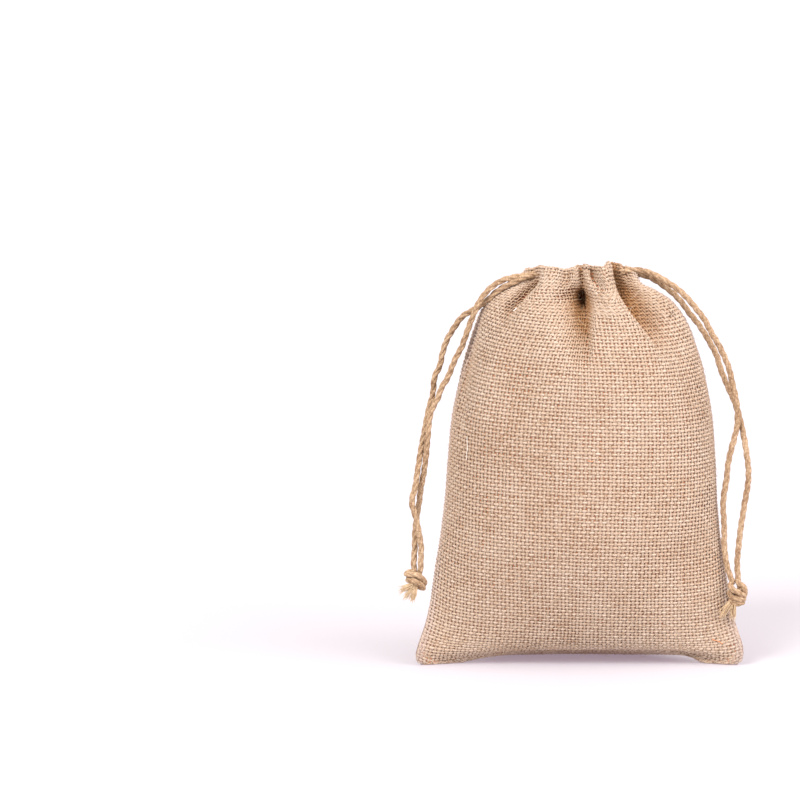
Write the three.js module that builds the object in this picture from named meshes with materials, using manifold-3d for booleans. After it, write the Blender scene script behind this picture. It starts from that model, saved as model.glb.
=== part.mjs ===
// A small jute drawstring bag, filled and standing by itself with its mouth drawn shut.
// One strip of jute is folded at the base and sewn up both sides. Two cords run through the hem
// at the mouth. Both ends of each cord leave at one side, hang down and meet in a knot.
// Millimetres, +Z up. The origin is on the floor under the middle of the bag. The front faces -Y.

import * as THREE from 'three';
import { mergeVertices } from 'three/addons/utils/BufferGeometryUtils.js';
import Module from 'manifold-3d';

const wasm = await Module();
wasm.setup();

// Driving dimensions

const BAG_HEIGHT = 200;         // cloth from the base fold to the top edge, lying flat
const CLOTH = 1.5;              // thickness of the jute
const HEM = 2.2;                // thickness of the doubled top edge
const HEM_DEPTH = 14;           // height of the hem that holds the cords
const SEAM_ALLOWANCE = 2.4;     // cloth caught inside each side seam
const CORNER_ALLOWANCE = 16;    // length of each lower corner where front and back lie on each other
const CORNER_HEIGHT = 55;       // height of cloth over which the corner allowance runs out
const ROUND_OVER = 0.9;         // how far the folded top edge stands above its two sides

const CORD_DIAMETER = 2.7;
const CORD_GROOVE = 0.36;       // depth of the groove between two plies
const CORD_PLIES = 3;
const CORD_LAY = 9.6;           // length of one full turn of the twist

// The bag in level rows of its cloth, from the base fold to the top edge.
// up: cloth above the base fold. half: half the width. shift: middle of the row, along X.
// frontY, frontZ, backY, backZ: middle of the front and back panels. seamY, seamZ: the side seams.
// edge: 2 is a sharp edge at the seams and 1 a round one.
// frontRise, backRise: how late a row of each panel climbs to its seams.

const ROW_COLUMNS = [
  'up', 'half', 'shift', 'frontY', 'frontZ', 'backY', 'backZ', 'seamY', 'seamZ', 'edge', 'frontRise', 'backRise',
];
const ROWS = [
  [0, 72.8, 0, -2.5, 5.2, -2.5, 5.2, -15.8, 0.9, 2, 6, 6],
  [3, 74.1, 0, -5.4, 4.6, 0.3, 3.8, -15.5, 3.4, 2, 7, 5],
  [10, 73.2, 0, -12.2, 4.5, 6.7, 1.2, -14.6, 9.8, 1.9, 8, 3.8],
  [16, 71.4, 0, -15.8, 9.4, 12.6, -0.4, -13.7, 15, 1.85, 8, 3],
  [22, 69.8, 0, -18.9, 14.6, 18.6, -0.6, -12.8, 20.2, 1.8, 8, 2.8],
  [33, 67.9, 0, -23.9, 24.4, 28, 5.5, -11.2, 29.8, 1.6, 8, 2.6],
  [43, 66.5, -0.1, -27.5, 33.6, 32.3, 14.9, -9.9, 38.6, 1.45, 8, 2.5],
  [53, 65, -0.2, -30.6, 43.1, 34.4, 25.2, -8.7, 47.4, 1.32, 8, 2.4],
  [63, 63.5, -0.15, -33.1, 52.7, 35.7, 35.7, -7.8, 56.2, 1.22, 8, 2.3],
  [73, 62.4, 0, -35, 62.3, 36.3, 46.2, -7, 65, 1.16, 8, 2.2],
  [85, 61.3, 0.1, -36.1, 74, 36.6, 58.8, -6.1, 75.9, 1.1, 8, 2.2],
  [95, 60.7, 0.25, -36.5, 83.8, 36.6, 69.3, -5.4, 85.6, 1.06, 8, 2.2],
  [107, 59.9, 0.35, -36.6, 95.6, 36.1, 81.9, -4.6, 97.4, 1.04, 8, 2.2],
  [122, 58.5, 0.45, -36.2, 110.2, 34.6, 97.6, -3.6, 112.3, 1, 8, 2.2],
  [135, 56.1, 0.6, -35.3, 122.8, 32.4, 111.2, -2.8, 125.3, 1, 8, 2.3],
  [146, 53.6, 0.55, -33.5, 133.3, 29.9, 122.4, -2.1, 136.2, 1, 7, 2.4],
  [156, 50.6, 0.35, -30.9, 142.6, 27, 132.5, -1.6, 145.9, 1, 5.5, 2.5],
  [163, 48.3, 0.2, -28.1, 148.9, 24.4, 139.4, -1.2, 152.6, 1, 4.5, 2.6],
  [171, 44.5, 0, -24.4, 155.7, 21.5, 147.2, -0.8, 159.6, 1, 3.5, 2.8],
  [178, 40, -0.25, -20.6, 161.4, 18.7, 154.2, -0.6, 164.9, 1, 3, 3],
  [186, 33.4, -0.8, -15.9, 167.7, 15.2, 162.4, -0.4, 169.3, 1, 3, 3],
  [193, 27, -0.55, -11.9, 173.2, 12, 170, -0.3, 172.9, 1, 3, 3],
  [BAG_HEIGHT, 23.2, 1.2, -8, 178.9, 8.8, 178.1, -0.3, 178.6, 1, 3, 3],
].map((row) => Object.fromEntries(ROW_COLUMNS.map((column, i) => [column, row[i]])));

// The gathers and creases. at and foot: place around the panel in degrees, 0 in its middle and 90 at
// the right-hand seam, at the fold's upper and lower end. deep: depth, minus for a crest.
// left and right: how far each flank reaches. top, peak and end: where it starts, is deepest and
// runs out, as cloth above the base fold.

const FOLD_COLUMNS = ['panel', 'name', 'at', 'foot', 'deep', 'left', 'right', 'top', 'peak', 'end'];
const FOLDS = [
  ['front', 'pinch', 0.5, 0, 5.2, 3.2, 2.8, 200, 185, 172],
  ['front', 'pinch trough', 0, -3, 3.6, 7, 4, 204, 181, 150],
  ['front', 'right valley', 43, 37, 5.2, 2.6, 7, 225, 190, 166],
  ['front', 'right valley foot', 37, 47, 4, 3, 9, 198, 177, 153],
  ['front', 'left crease', -46, -52, 2.4, 5, 3, 214, 187, 168],
  ['front', 'left middle dip', -17, -12, 1.5, 4.5, 6, 207, 190, 178],
  ['front', 'rim dimple', 14, 17, 2.2, 2.4, 3, 208, 198, 190],
  ['front', 'left crest', -32, -27, -1.8, 5, 6, 214, 190, 162],
  ['front', 'middle crest', 20, 17, -1.7, 5, 5.5, 214, 190, 162],
  ['front', 'right crest', 70, 72, -1.1, 4, 4, 214, 190, 174],
  ['front', 'left seam crease', -83, -62, 1.4, 3.5, 6, 182, 151, 104],
  ['front', 'shoulder slack', -40, -30, 1.2, 12, 12, 180, 150, 112],
  ['front', 'lower right slack', 48, 40, 1.1, 14, 12, 92, 62, 30],
  ['back', 'left gather', -52, -58, 3.4, 5, 6, 214, 190, 160],
  ['back', 'left middle gather', -22, -26, 3.6, 4, 7, 214, 189, 154],
  ['back', 'middle crest', -5, -5, -1.5, 6, 6, 214, 191, 170],
  ['back', 'right middle gather', 12, 14, 3.8, 6, 4, 214, 190, 158],
  ['back', 'right gather', 46, 55, 3.6, 5, 7, 214, 188, 156],
  ['back', 'back slack', 20, 10, 1.3, 16, 14, 150, 105, 60],
].map((fold) => Object.fromEntries(FOLD_COLUMNS.map((column, i) => [column, fold[i]])));

// How far the top edge of the front stands above or below its row, at degrees around the panel.
const TOP_EDGE = [
  { at: -90, lift: -1.6 },
  { at: -60, lift: -1.5 },
  { at: -30, lift: -0.7 },
  { at: 5, lift: -0.2 },
  { at: 20, lift: 0.6 },
  { at: 36, lift: 1.5 },
  { at: 56, lift: 0.2 },
  { at: 90, lift: -1.6 },
];
const TOP_EDGE_DEPTH = 13;      // height of the cloth that follows the top edge up and down

// The lower corners droop to the floor beside the middle of the base, which stays off it in front.
const EAR = { place: 0.84, width: 0.24, drop: 6, end: 30 };

// How finely the cloth is divided. ROW_STEPS are heights of cloth above the base fold.
const ACROSS = 42;
const ROW_STEPS = [
  0, 3, 7, 11, 16, 22, 30, 42, 58, 78, 98, 116, 132, 144, 153, 161, 168, 175, 181, 185, 189, 193, 197, BAG_HEIGHT,
];

// Interpolation

function smoothstep(from, to, value) {
  return THREE.MathUtils.smoothstep(value, Math.min(from, to), Math.max(from, to));
}

function slopeAt(rows, i, column) {
  const before = rows[Math.max(i - 1, 0)];
  const after = rows[Math.min(i + 1, rows.length - 1)];
  return (after[column] - before[column]) / (after.up - before.up);
}

// A smooth curve through one column of ROWS.
function rowValue(column, up) {
  let i = 0;
  while (i < ROWS.length - 2 && ROWS[i + 1].up < up) i += 1;
  const low = ROWS[i];
  const high = ROWS[i + 1];
  const span = high.up - low.up;
  const s = THREE.MathUtils.clamp((up - low.up) / span, 0, 1);
  const pullLow = slopeAt(ROWS, i, column) * span;
  const pullHigh = slopeAt(ROWS, i + 1, column) * span;
  return (2 * s ** 3 - 3 * s ** 2 + 1) * low[column] + (s ** 3 - 2 * s ** 2 + s) * pullLow
    + (3 * s ** 2 - 2 * s ** 3) * high[column] + (s ** 3 - s ** 2) * pullHigh;
}

// The line down the middle of the front, under the base and up the middle of the back.
// run is minus the cloth height on the front and plus it on the back.
function middleLine(run) {
  const panel = run < 0 ? 'front' : 'back';
  const up = Math.abs(run);
  return new THREE.Vector2(rowValue(`${panel}Y`, up), rowValue(`${panel}Z`, up));
}

// The same line, moved into the bag by the thickness of the cloth.
function innerMiddleLine(run, wall) {
  const step = 0.5;
  const limit = BAG_HEIGHT;
  const next = middleLine(Math.min(run + step, limit));
  const along = next.sub(middleLine(Math.max(run - step, -limit))).normalize();
  const point = middleLine(run);
  return new THREE.Vector2(point.x - along.y * wall, point.y + along.x * wall);
}

// Folds

function foldFade(fold, up) {
  return up > fold.peak ? 1 - smoothstep(fold.peak, fold.top, up) : smoothstep(fold.end, fold.peak, up);
}

// Depth of all folds of a panel at a place, given in degrees around it.
function foldDepth(panel, degrees, up, half, depth) {
  let sum = 0;
  for (const fold of FOLDS) {
    if (fold.panel !== panel) continue;
    const fade = foldFade(fold, up);
    if (fade <= 0) continue;
    const share = THREE.MathUtils.clamp((fold.peak - up) / (fold.peak - fold.end), 0, 1);
    const middle = THREE.MathUtils.lerp(fold.at, fold.foot, share);
    const angle = THREE.MathUtils.degToRad(middle);
    const radius = Math.hypot(half * Math.cos(angle), depth * Math.sin(angle));
    const away = THREE.MathUtils.degToRad(degrees - middle) * radius;
    const reach = away < 0 ? fold.left : fold.right;
    sum += fold.deep * fade * Math.exp(-((away / reach) ** 2));
  }
  return sum;
}

function topEdgeLift(panel, degrees, up) {
  const fade = smoothstep(BAG_HEIGHT - TOP_EDGE_DEPTH, BAG_HEIGHT, up);
  if (panel === 'back' || fade === 0) return (TOP_EDGE[0].lift) * fade;
  let i = 0;
  while (i < TOP_EDGE.length - 2 && TOP_EDGE[i + 1].at < degrees) i += 1;
  const low = TOP_EDGE[i];
  const high = TOP_EDGE[i + 1];
  return THREE.MathUtils.lerp(low.lift, high.lift, smoothstep(low.at, high.at, degrees)) * fade;
}

// The shape of one row of one panel, without its folds.
function rowShape(panel, up) {
  return {
    middleY: rowValue(`${panel}Y`, up),
    middleZ: rowValue(`${panel}Z`, up),
    half: rowValue('half', up),
    span: rowValue('half', up),
    shift: rowValue('shift', up),
    seamY: rowValue('seamY', up),
    seamZ: rowValue('seamZ', up),
    edge: rowValue('edge', up),
    rise: rowValue(`${panel}Rise`, up),
    ear: EAR.drop * (1 - smoothstep(0, EAR.end, up)),
    raised: 0,
  };
}

// A point of a row. across is the sine of its place: -1 at the left-hand seam and 1 at the right-hand one.
function rowPoint(shape, across) {
  const bulge = Math.sqrt(Math.max(1 - across * across, 0)) ** shape.edge;
  const reach = (Math.abs(across) * shape.half) / shape.span;
  const ear = shape.ear * Math.exp(-(((reach - EAR.place) / EAR.width) ** 2));
  return new THREE.Vector3(
    shape.shift + shape.half * across,
    shape.seamY + (shape.middleY - shape.seamY) * bulge,
    Math.max(shape.middleZ + (shape.seamZ - shape.middleZ) * reach ** shape.rise - ear, 0) + shape.raised,
  );
}

// The inside of a row: thinner by the cloth, and narrower by what the seam and the corner hold.
function innerShape(panel, up) {
  const shape = rowShape(panel, up);
  const sign = panel === 'front' ? -1 : 1;
  const wall = THREE.MathUtils.lerp(CLOTH, HEM, smoothstep(BAG_HEIGHT - HEM_DEPTH, BAG_HEIGHT, up));
  const allowance = THREE.MathUtils.lerp(CORNER_ALLOWANCE, SEAM_ALLOWANCE, smoothstep(0, CORNER_HEIGHT, up));
  const end = 1 - allowance / shape.half;
  const seam = rowPoint(rowShape('front', up), end).lerp(rowPoint(rowShape('back', up), end), 0.5);
  const middle = innerMiddleLine(sign * up, wall);
  return {
    ...shape,
    middleY: middle.x,
    half: shape.half - allowance,
    seamY: seam.y,
    raised: middle.y - shape.middleZ,
  };
}

// One row of cloth across a panel, from the left-hand seam to the right-hand one.
class ClothRow extends THREE.Curve {
  constructor(panel, up, inside) {
    super();
    this.panel = panel;
    this.up = up;
    this.sign = panel === 'front' ? -1 : 1;
    this.shape = inside ? innerShape(panel, up) : rowShape(panel, up);
  }

  getPoint(share, target = new THREE.Vector3()) {
    const angle = (share - 0.5) * Math.PI;
    const degrees = THREE.MathUtils.radToDeg(angle);
    const { half, middleY, seamY } = this.shape;
    const depth = Math.abs(middleY - seamY);
    const fold = foldDepth(this.panel, degrees, this.up, half, depth);
    const outward = new THREE.Vector2(depth * Math.sin(angle), this.sign * half * Math.cos(angle)).normalize();
    const point = rowPoint(this.shape, Math.sin(angle));
    return target.set(
      point.x - fold * outward.x,
      point.y - fold * outward.y,
      point.z + topEdgeLift(this.panel, degrees, this.up),
    );
  }
}

// Points right round the bag at one height of its cloth: the front, then the back.
function ring(up, inside) {
  const front = new ClothRow('front', up, inside).getSpacedPoints(ACROSS);
  const back = new ClothRow('back', up, inside).getSpacedPoints(ACROSS).reverse();
  return [...front.slice(0, -1), ...back.slice(0, -1)];
}

// A closed mesh from rings that run up the outside, over the top edge and down the inside.
function meshFromRings(rings) {
  const around = rings[0].length;
  const positions = rings.flat().flatMap((point) => point.toArray());
  const faces = [];
  for (let i = 0; i < rings.length - 1; i += 1) {
    for (let j = 0; j < around; j += 1) {
      const next = (j + 1) % around;
      const a = i * around + j;
      const b = i * around + next;
      const c = (i + 1) * around + next;
      const d = (i + 1) * around + j;
      faces.push(a, b, c, a, c, d);
    }
  }
  const geometry = new THREE.BufferGeometry();
  geometry.setAttribute('position', new THREE.Float32BufferAttribute(positions, 3));
  geometry.setIndex(faces);
  return tidy(geometry);
}

// Joins the points that coincide and drops the faces that this leaves without area.
function tidy(geometry) {
  const bare = geometry.clone();
  bare.deleteAttribute('normal');
  bare.deleteAttribute('uv');
  const merged = mergeVertices(bare, 1e-3);
  const index = merged.getIndex().array;
  const kept = [];
  for (let i = 0; i < index.length; i += 3) {
    const [a, b, c] = [index[i], index[i + 1], index[i + 2]];
    if (a !== b && b !== c && c !== a) kept.push(a, b, c);
  }
  merged.setIndex(kept);
  return merged;
}

function clothBody() {
  const outside = ROW_STEPS.map((up) => ring(up, false));
  const inside = ROW_STEPS.map((up) => ring(up, true)).reverse();
  const outerEdge = outside[outside.length - 1];
  const crown = inside[0].map((point, j) => {
    const top = outerEdge[j];
    return point.clone().lerp(top, 0.5).setZ(top.z + ROUND_OVER);
  });
  return meshFromRings([...outside, crown, ...inside]);
}

// Cords

// The routes of the four hanging runs of cord, from the hem to the knot.
const ROUTES = {
  right_cord_front: [
    [25.9, -1.2, 177.8], [28.9, -1.6, 177.3], [32.5, -2, 175.7], [36.1, -2.4, 173.9], [39.7, -2.8, 171.6],
    [43.3, -3.2, 169.1], [47.8, -3.8, 164.7], [51.6, -4.5, 160.1], [54.7, -5.2, 156.1], [57.3, -6, 151],
    [59.9, -6.8, 146.7], [62.9, -7.6, 141.1], [65.5, -8.6, 134.5], [67.5, -9.6, 125.8], [68.4, -10.2, 122.2],
    [69.3, -10.9, 115.7], [69.2, -11.2, 108.9], [68.1, -11.2, 103.7], [66.8, -11.2, 98.4], [65.4, -11.2, 91.6],
    [64.8, -11.4, 84.6], [63.7, -11.5, 77.6], [63.5, -11.6, 71.7], [63.8, -11.7, 68.1], [64.1, -11.8, 62.3],
    [64.2, -12, 55], [64.8, -12.6, 49.7], [65.9, -13.5, 44.2], [67.3, -14.4, 40.4], [68.1, -14.7, 38.9],
  ],
  right_cord_back: [
    [26.6, 1.8, 175.5], [29.9, 1.8, 174.7], [34.3, 1.6, 172.4], [37.9, 1.4, 169.7], [41.5, 1.1, 166.8],
    [45.6, 0.7, 162.3], [48.3, 0.3, 158.5], [50.7, -0.2, 155.7], [53.6, -0.8, 151.8], [56.8, -1.6, 146.6],
    [60.3, -2.8, 140.1], [62.4, -4, 133.4], [64.2, -4.9, 128.9], [65.9, -5.8, 124.9], [68.3, -7, 119.7],
    [69.9, -7.8, 114.9], [71.3, -8.7, 109.6], [72.5, -9.6, 103.8], [74, -10.7, 94.7], [74.7, -11.3, 85.4],
    [73.2, -12, 75.4], [72.4, -12.3, 69.6], [71.5, -12.6, 64], [71, -12.9, 59.3], [70.3, -13.2, 52.4],
    [70, -13.5, 47], [70.5, -13.6, 39.7],
  ],
  left_cord_front: [
    [-24.6, -2, 177.2], [-27.2, -2.6, 176.9], [-30.1, -3.2, 176.1], [-35.4, -3.8, 174.2], [-39.9, -4.4, 171.2],
    [-43.8, -5, 167.1], [-46.5, -5.4, 162.8], [-47.8, -5.6, 159.9], [-49.8, -5.6, 154.7], [-52.3, -5.6, 147.6],
    [-53.8, -5.8, 143.5], [-56, -6.2, 139.6], [-57.8, -6.6, 135.4], [-59.7, -7, 130.6], [-62.7, -7.6, 125.6],
    [-64, -8, 121.8], [-65.8, -8.6, 118.6], [-67.5, -9.2, 114.5], [-68.3, -9.8, 109.3], [-68.7, -10.2, 104.5],
    [-69.4, -10.2, 97.3], [-70.4, -9.8, 88.6], [-71.9, -9.3, 80.4], [-72.6, -9, 74.3], [-74.4, -9.6, 61.5],
    [-74.6, -11, 53], [-75, -12, 47.6], [-74.9, -12.2, 43],
  ],
  left_cord_back: [
    [-26, -3.6, 174.8], [-28.8, -3.8, 173.5], [-34.5, -3.8, 170.8], [-38.5, -3.6, 168.1], [-42.1, -3, 164.6],
    [-46.5, -1, 161.1], [-52.7, 0.8, 157.2], [-54.9, 1.3, 154.8], [-57.8, 1.6, 150.3], [-59.7, 1.6, 147.1],
    [-61.2, 1.5, 143.4], [-62.3, 1.2, 139.4], [-63.3, 0.8, 134.6], [-65.6, -0.2, 129.6], [-66.4, -2, 122.6],
    [-68.4, -4.2, 115.1], [-70.6, -7, 104.1], [-71.9, -8.4, 97.1], [-73.3, -11.4, 89], [-74.4, -12.6, 81.6],
    [-75.9, -13.6, 75.1], [-74.1, -13.8, 68.1], [-72.5, -13.6, 60], [-71.8, -13.4, 54.5], [-71.8, -13.2, 48.6],
    [-72.1, -13, 43.4],
  ],
};

// The two knots. middle: centre. lean: turn about Y in degrees. Each end is a frayed cord below it.
const KNOTS = {
  right_knot: {
    middle: [70.3, -14.3, 34],
    lean: -8,
    ends: [
      { root: [-1.9, 0, -3.5], tip: [-5.6, -0.9, -9.8], spread: 1.7 },
      { root: [-0.3, -0.3, -4], tip: [-1.2, -0.6, -11], spread: 1.5 },
    ],
  },
  left_knot: {
    middle: [-73.8, -12.8, 38],
    lean: 14,
    ends: [
      { root: [-2.2, -0.6, -2.2], tip: [-6.4, -1.6, -4.6], spread: 1.6 },
      { root: [-0.6, 0, -3.6], tip: [-1.4, -0.6, -7.6], spread: 1.8 },
    ],
  },
};

const KNOT_CORE = { width: 6.4, depth: 5.8, height: 9 };

// The turns of cord round a knot. up: height on the core. tilt: slope in degrees. raised: height of the turn.
const KNOT_TURNS = [
  { up: 3.1, tilt: -28, raised: 0.8 },
  { up: 0.5, tilt: -22, raised: 0.9 },
  { up: -2.1, tilt: -14, raised: 0.8 },
  { up: -4.4, tilt: -6, raised: 0.6 },
];
// The turn that crosses the others from the upper left to the lower right.
const KNOT_BAND = { tilt: 56, raised: 1.5 };

const LOCKS = 5;
const STEPS_PER_TURN = 6;

// The outline of the twisted cord: a ridge for each ply and a groove between each two.
function cordSection() {
  const section = new THREE.Shape();
  const corners = CORD_PLIES * 2;
  for (let k = 0; k < corners; k += 1) {
    const radius = CORD_DIAMETER / 2 - (k % 2) * CORD_GROOVE;
    const angle = (k / corners) * Math.PI * 2;
    const x = radius * Math.cos(angle);
    const y = radius * Math.sin(angle);
    if (k === 0) section.moveTo(x, y);
    else section.lineTo(x, y);
  }
  section.closePath();
  return section;
}

// A straight-sided cord along the path, whose rings are then turned a little more at each step.
function twistedCord(points) {
  const corners = points.map((point) => new THREE.Vector3(...point));
  const path = new THREE.CatmullRomCurve3(corners, false, 'centripetal');
  const steps = Math.round((path.getLength() / CORD_LAY) * STEPS_PER_TURN);
  const settings = { steps, extrudePath: path, curveSegments: 1 };
  const geometry = tidy(new THREE.ExtrudeGeometry(cordSection(), settings));
  const centres = path.getSpacedPoints(steps);
  const position = geometry.getAttribute('position');
  const point = new THREE.Vector3();
  for (let i = 0; i < position.count; i += 1) {
    point.fromBufferAttribute(position, i);
    let nearest = 0;
    centres.forEach((centre, k) => {
      if (centre.distanceToSquared(point) < centres[nearest].distanceToSquared(point)) nearest = k;
    });
    const turn = (nearest * Math.PI * 2) / STEPS_PER_TURN;
    point.sub(centres[nearest]).applyAxisAngle(path.getTangentAt(nearest / steps), turn).add(centres[nearest]);
    position.setXYZ(i, point.x, point.y, point.z);
  }
  return geometry;
}

// Knots

function toManifold(geometry) {
  const bare = tidy(geometry);
  return new wasm.Manifold(new wasm.Mesh({
    numProp: 3,
    vertProperties: Float32Array.from(bare.getAttribute('position').array),
    triVerts: Uint32Array.from(bare.getIndex().array),
  }));
}

function fromManifold(solid) {
  const mesh = solid.getMesh();
  const geometry = new THREE.BufferGeometry();
  geometry.setAttribute('position', new THREE.Float32BufferAttribute(mesh.vertProperties, 3));
  geometry.setIndex(Array.from(mesh.triVerts));
  return geometry;
}

// How far one turn of cord stands out at a point of the core.
function turnHeight(point, turn) {
  const tilt = THREE.MathUtils.degToRad(turn.tilt);
  const off = (point.z - (turn.up ?? 0)) * Math.cos(tilt) + point.x * Math.sin(tilt);
  return turn.raised * Math.sqrt(Math.max(0, 1 - (off / (CORD_DIAMETER / 2)) ** 2));
}

function knotCore() {
  const core = tidy(new THREE.SphereGeometry(1, 20, 18).rotateX(Math.PI / 2));
  const position = core.getAttribute('position');
  const point = new THREE.Vector3();
  const size = new THREE.Vector3(KNOT_CORE.width, KNOT_CORE.depth, KNOT_CORE.height).multiplyScalar(0.5);
  for (let i = 0; i < position.count; i += 1) {
    const out = new THREE.Vector3().fromBufferAttribute(position, i);
    point.copy(out).multiply(size);
    const turns = Math.max(...KNOT_TURNS.map((turn) => turnHeight(point, turn)));
    const band = out.y < 0 ? turnHeight(point, KNOT_BAND) * Math.min(1, -2 * out.y) : 0;
    point.addScaledVector(out, Math.max(turns, band));
    position.setXYZ(i, point.x, point.y, point.z);
  }
  return core;
}

// One lock of loose fibre, thicker at its root.
function fibreLock(root, tip) {
  const along = tip.clone().sub(root);
  const lock = new THREE.CylinderGeometry(0.26, 0.5, along.length(), 4, 1);
  lock.applyQuaternion(new THREE.Quaternion().setFromUnitVectors(new THREE.Vector3(0, 1, 0), along.normalize()));
  const middle = root.clone().lerp(tip, 0.5);
  return lock.translate(middle.x, middle.y, middle.z);
}

// The frayed end of one cord: locks with their roots in the knot that spread apart below it.
function frayedEnd(end) {
  const root = new THREE.Vector3(...end.root);
  const tip = new THREE.Vector3(...end.tip);
  return Array.from({ length: LOCKS }, (_, k) => {
    const angle = (k / LOCKS) * Math.PI * 2 + 0.4;
    const offset = new THREE.Vector3(Math.cos(angle), Math.sin(angle) * 0.8, 0);
    const uneven = 1 + 0.13 * Math.sin(k * 2.4);
    const from = root.clone().addScaledVector(offset, 0.75);
    const to = root.clone().lerp(tip, uneven).addScaledVector(offset, end.spread);
    return fibreLock(from, to);
  });
}

function knotBody(knot) {
  const lumps = [knotCore(), ...knot.ends.flatMap(frayedEnd)];
  const joined = lumps.map(toManifold).reduce((sum, lump) => sum.add(lump));
  return fromManifold(joined)
    .rotateY(THREE.MathUtils.degToRad(knot.lean))
    .translate(...knot.middle);
}

// Materials

const JUTE = new THREE.Color(0.72, 0.55, 0.38);
const CORD_JUTE = new THREE.Color(0.7, 0.54, 0.37);

function jute(colour) {
  return new THREE.MeshStandardMaterial({ color: colour, roughness: 0.95, metalness: 0 });
}

function addPiece(group, name, geometry, colour) {
  const mesh = new THREE.Mesh(geometry, jute(colour));
  mesh.name = name;
  group.add(mesh);
}

// The bag

const bag = new THREE.Group();
addPiece(bag, 'bag_cloth', clothBody(), JUTE);
for (const [name, route] of Object.entries(ROUTES)) addPiece(bag, name, twistedCord(route), CORD_JUTE);
for (const [name, knot] of Object.entries(KNOTS)) addPiece(bag, name, knotBody(knot), CORD_JUTE);

export default bag;
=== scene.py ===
# %% [markdown]
# A small jute drawstring bag
#
# The real bag is one strip of open jute cloth, folded at the base, sewn up both sides and hemmed
# at the top. Two twisted cords run through the hem and hang down at the sides, where each pair of
# ends is tied in a knot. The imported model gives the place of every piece. This lesson dresses it:
# real yarns that pass over and under each other, cords laid up from three plies, and knots that
# end in loose fibre.

# %% Load the frame
import math

import bpy
import numpy as np
from mathutils import Euler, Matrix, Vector


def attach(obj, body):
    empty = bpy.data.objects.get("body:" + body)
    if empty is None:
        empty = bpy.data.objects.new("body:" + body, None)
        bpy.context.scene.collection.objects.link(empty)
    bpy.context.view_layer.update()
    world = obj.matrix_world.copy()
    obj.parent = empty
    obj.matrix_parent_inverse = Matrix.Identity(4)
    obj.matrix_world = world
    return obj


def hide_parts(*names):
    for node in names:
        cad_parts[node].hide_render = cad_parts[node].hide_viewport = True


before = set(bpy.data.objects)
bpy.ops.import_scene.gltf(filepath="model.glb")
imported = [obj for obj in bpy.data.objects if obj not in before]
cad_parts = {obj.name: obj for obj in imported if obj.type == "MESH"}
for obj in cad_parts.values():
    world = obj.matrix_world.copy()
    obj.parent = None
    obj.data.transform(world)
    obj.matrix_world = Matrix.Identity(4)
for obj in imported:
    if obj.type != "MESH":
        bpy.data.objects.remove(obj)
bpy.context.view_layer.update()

MM = 0.001
print("The frame holds", sorted(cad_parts))

# %% [markdown]
# The camera
#
# The camera comes first, because every later choice is judged through it. A long lens from over a
# metre away keeps the sides of the bag nearly parallel, as a product photograph does. The bag stands
# right of the middle of the picture, so the camera looks at a point to the left of it and is not
# turned towards the bag.

# %% Camera
CAMERA_PITCH = 8.0
CAMERA_DISTANCE = 1350
CAMERA_TARGET = Vector((-81.18, 0, 119.18))
FOCAL_PIXELS = 3004
PICTURE_PIXELS = 800
SENSOR = 36

pitch = math.radians(CAMERA_PITCH)
back = Vector((0, -math.cos(pitch), math.sin(pitch)))
camera_data = bpy.data.cameras.new("product_camera")
camera_data.sensor_width = SENSOR
camera_data.lens = SENSOR * FOCAL_PIXELS / PICTURE_PIXELS
camera_data.clip_end = 100
camera = bpy.data.objects.new("product_camera", camera_data)
camera.location = (CAMERA_TARGET + back * CAMERA_DISTANCE) * MM
camera.rotation_euler = Euler((math.pi / 2 - pitch, 0, 0))
bpy.context.scene.collection.objects.link(camera)
bpy.context.scene.camera = camera
print(f"Lens {camera_data.lens:.1f} mm, camera at {tuple(round(c, 3) for c in camera.location)} m")

# %% [markdown]
# A small language for node trees
#
# Materials and Geometry Nodes are both trees of nodes. Built by hand they take many lines, so two
# small classes do the work. Graph adds a node, sets it and wires its sockets in one call. Wire stands
# for a socket and can be used in a Python sum: each operator adds one Math node.

# %% Graph and Wire


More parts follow.
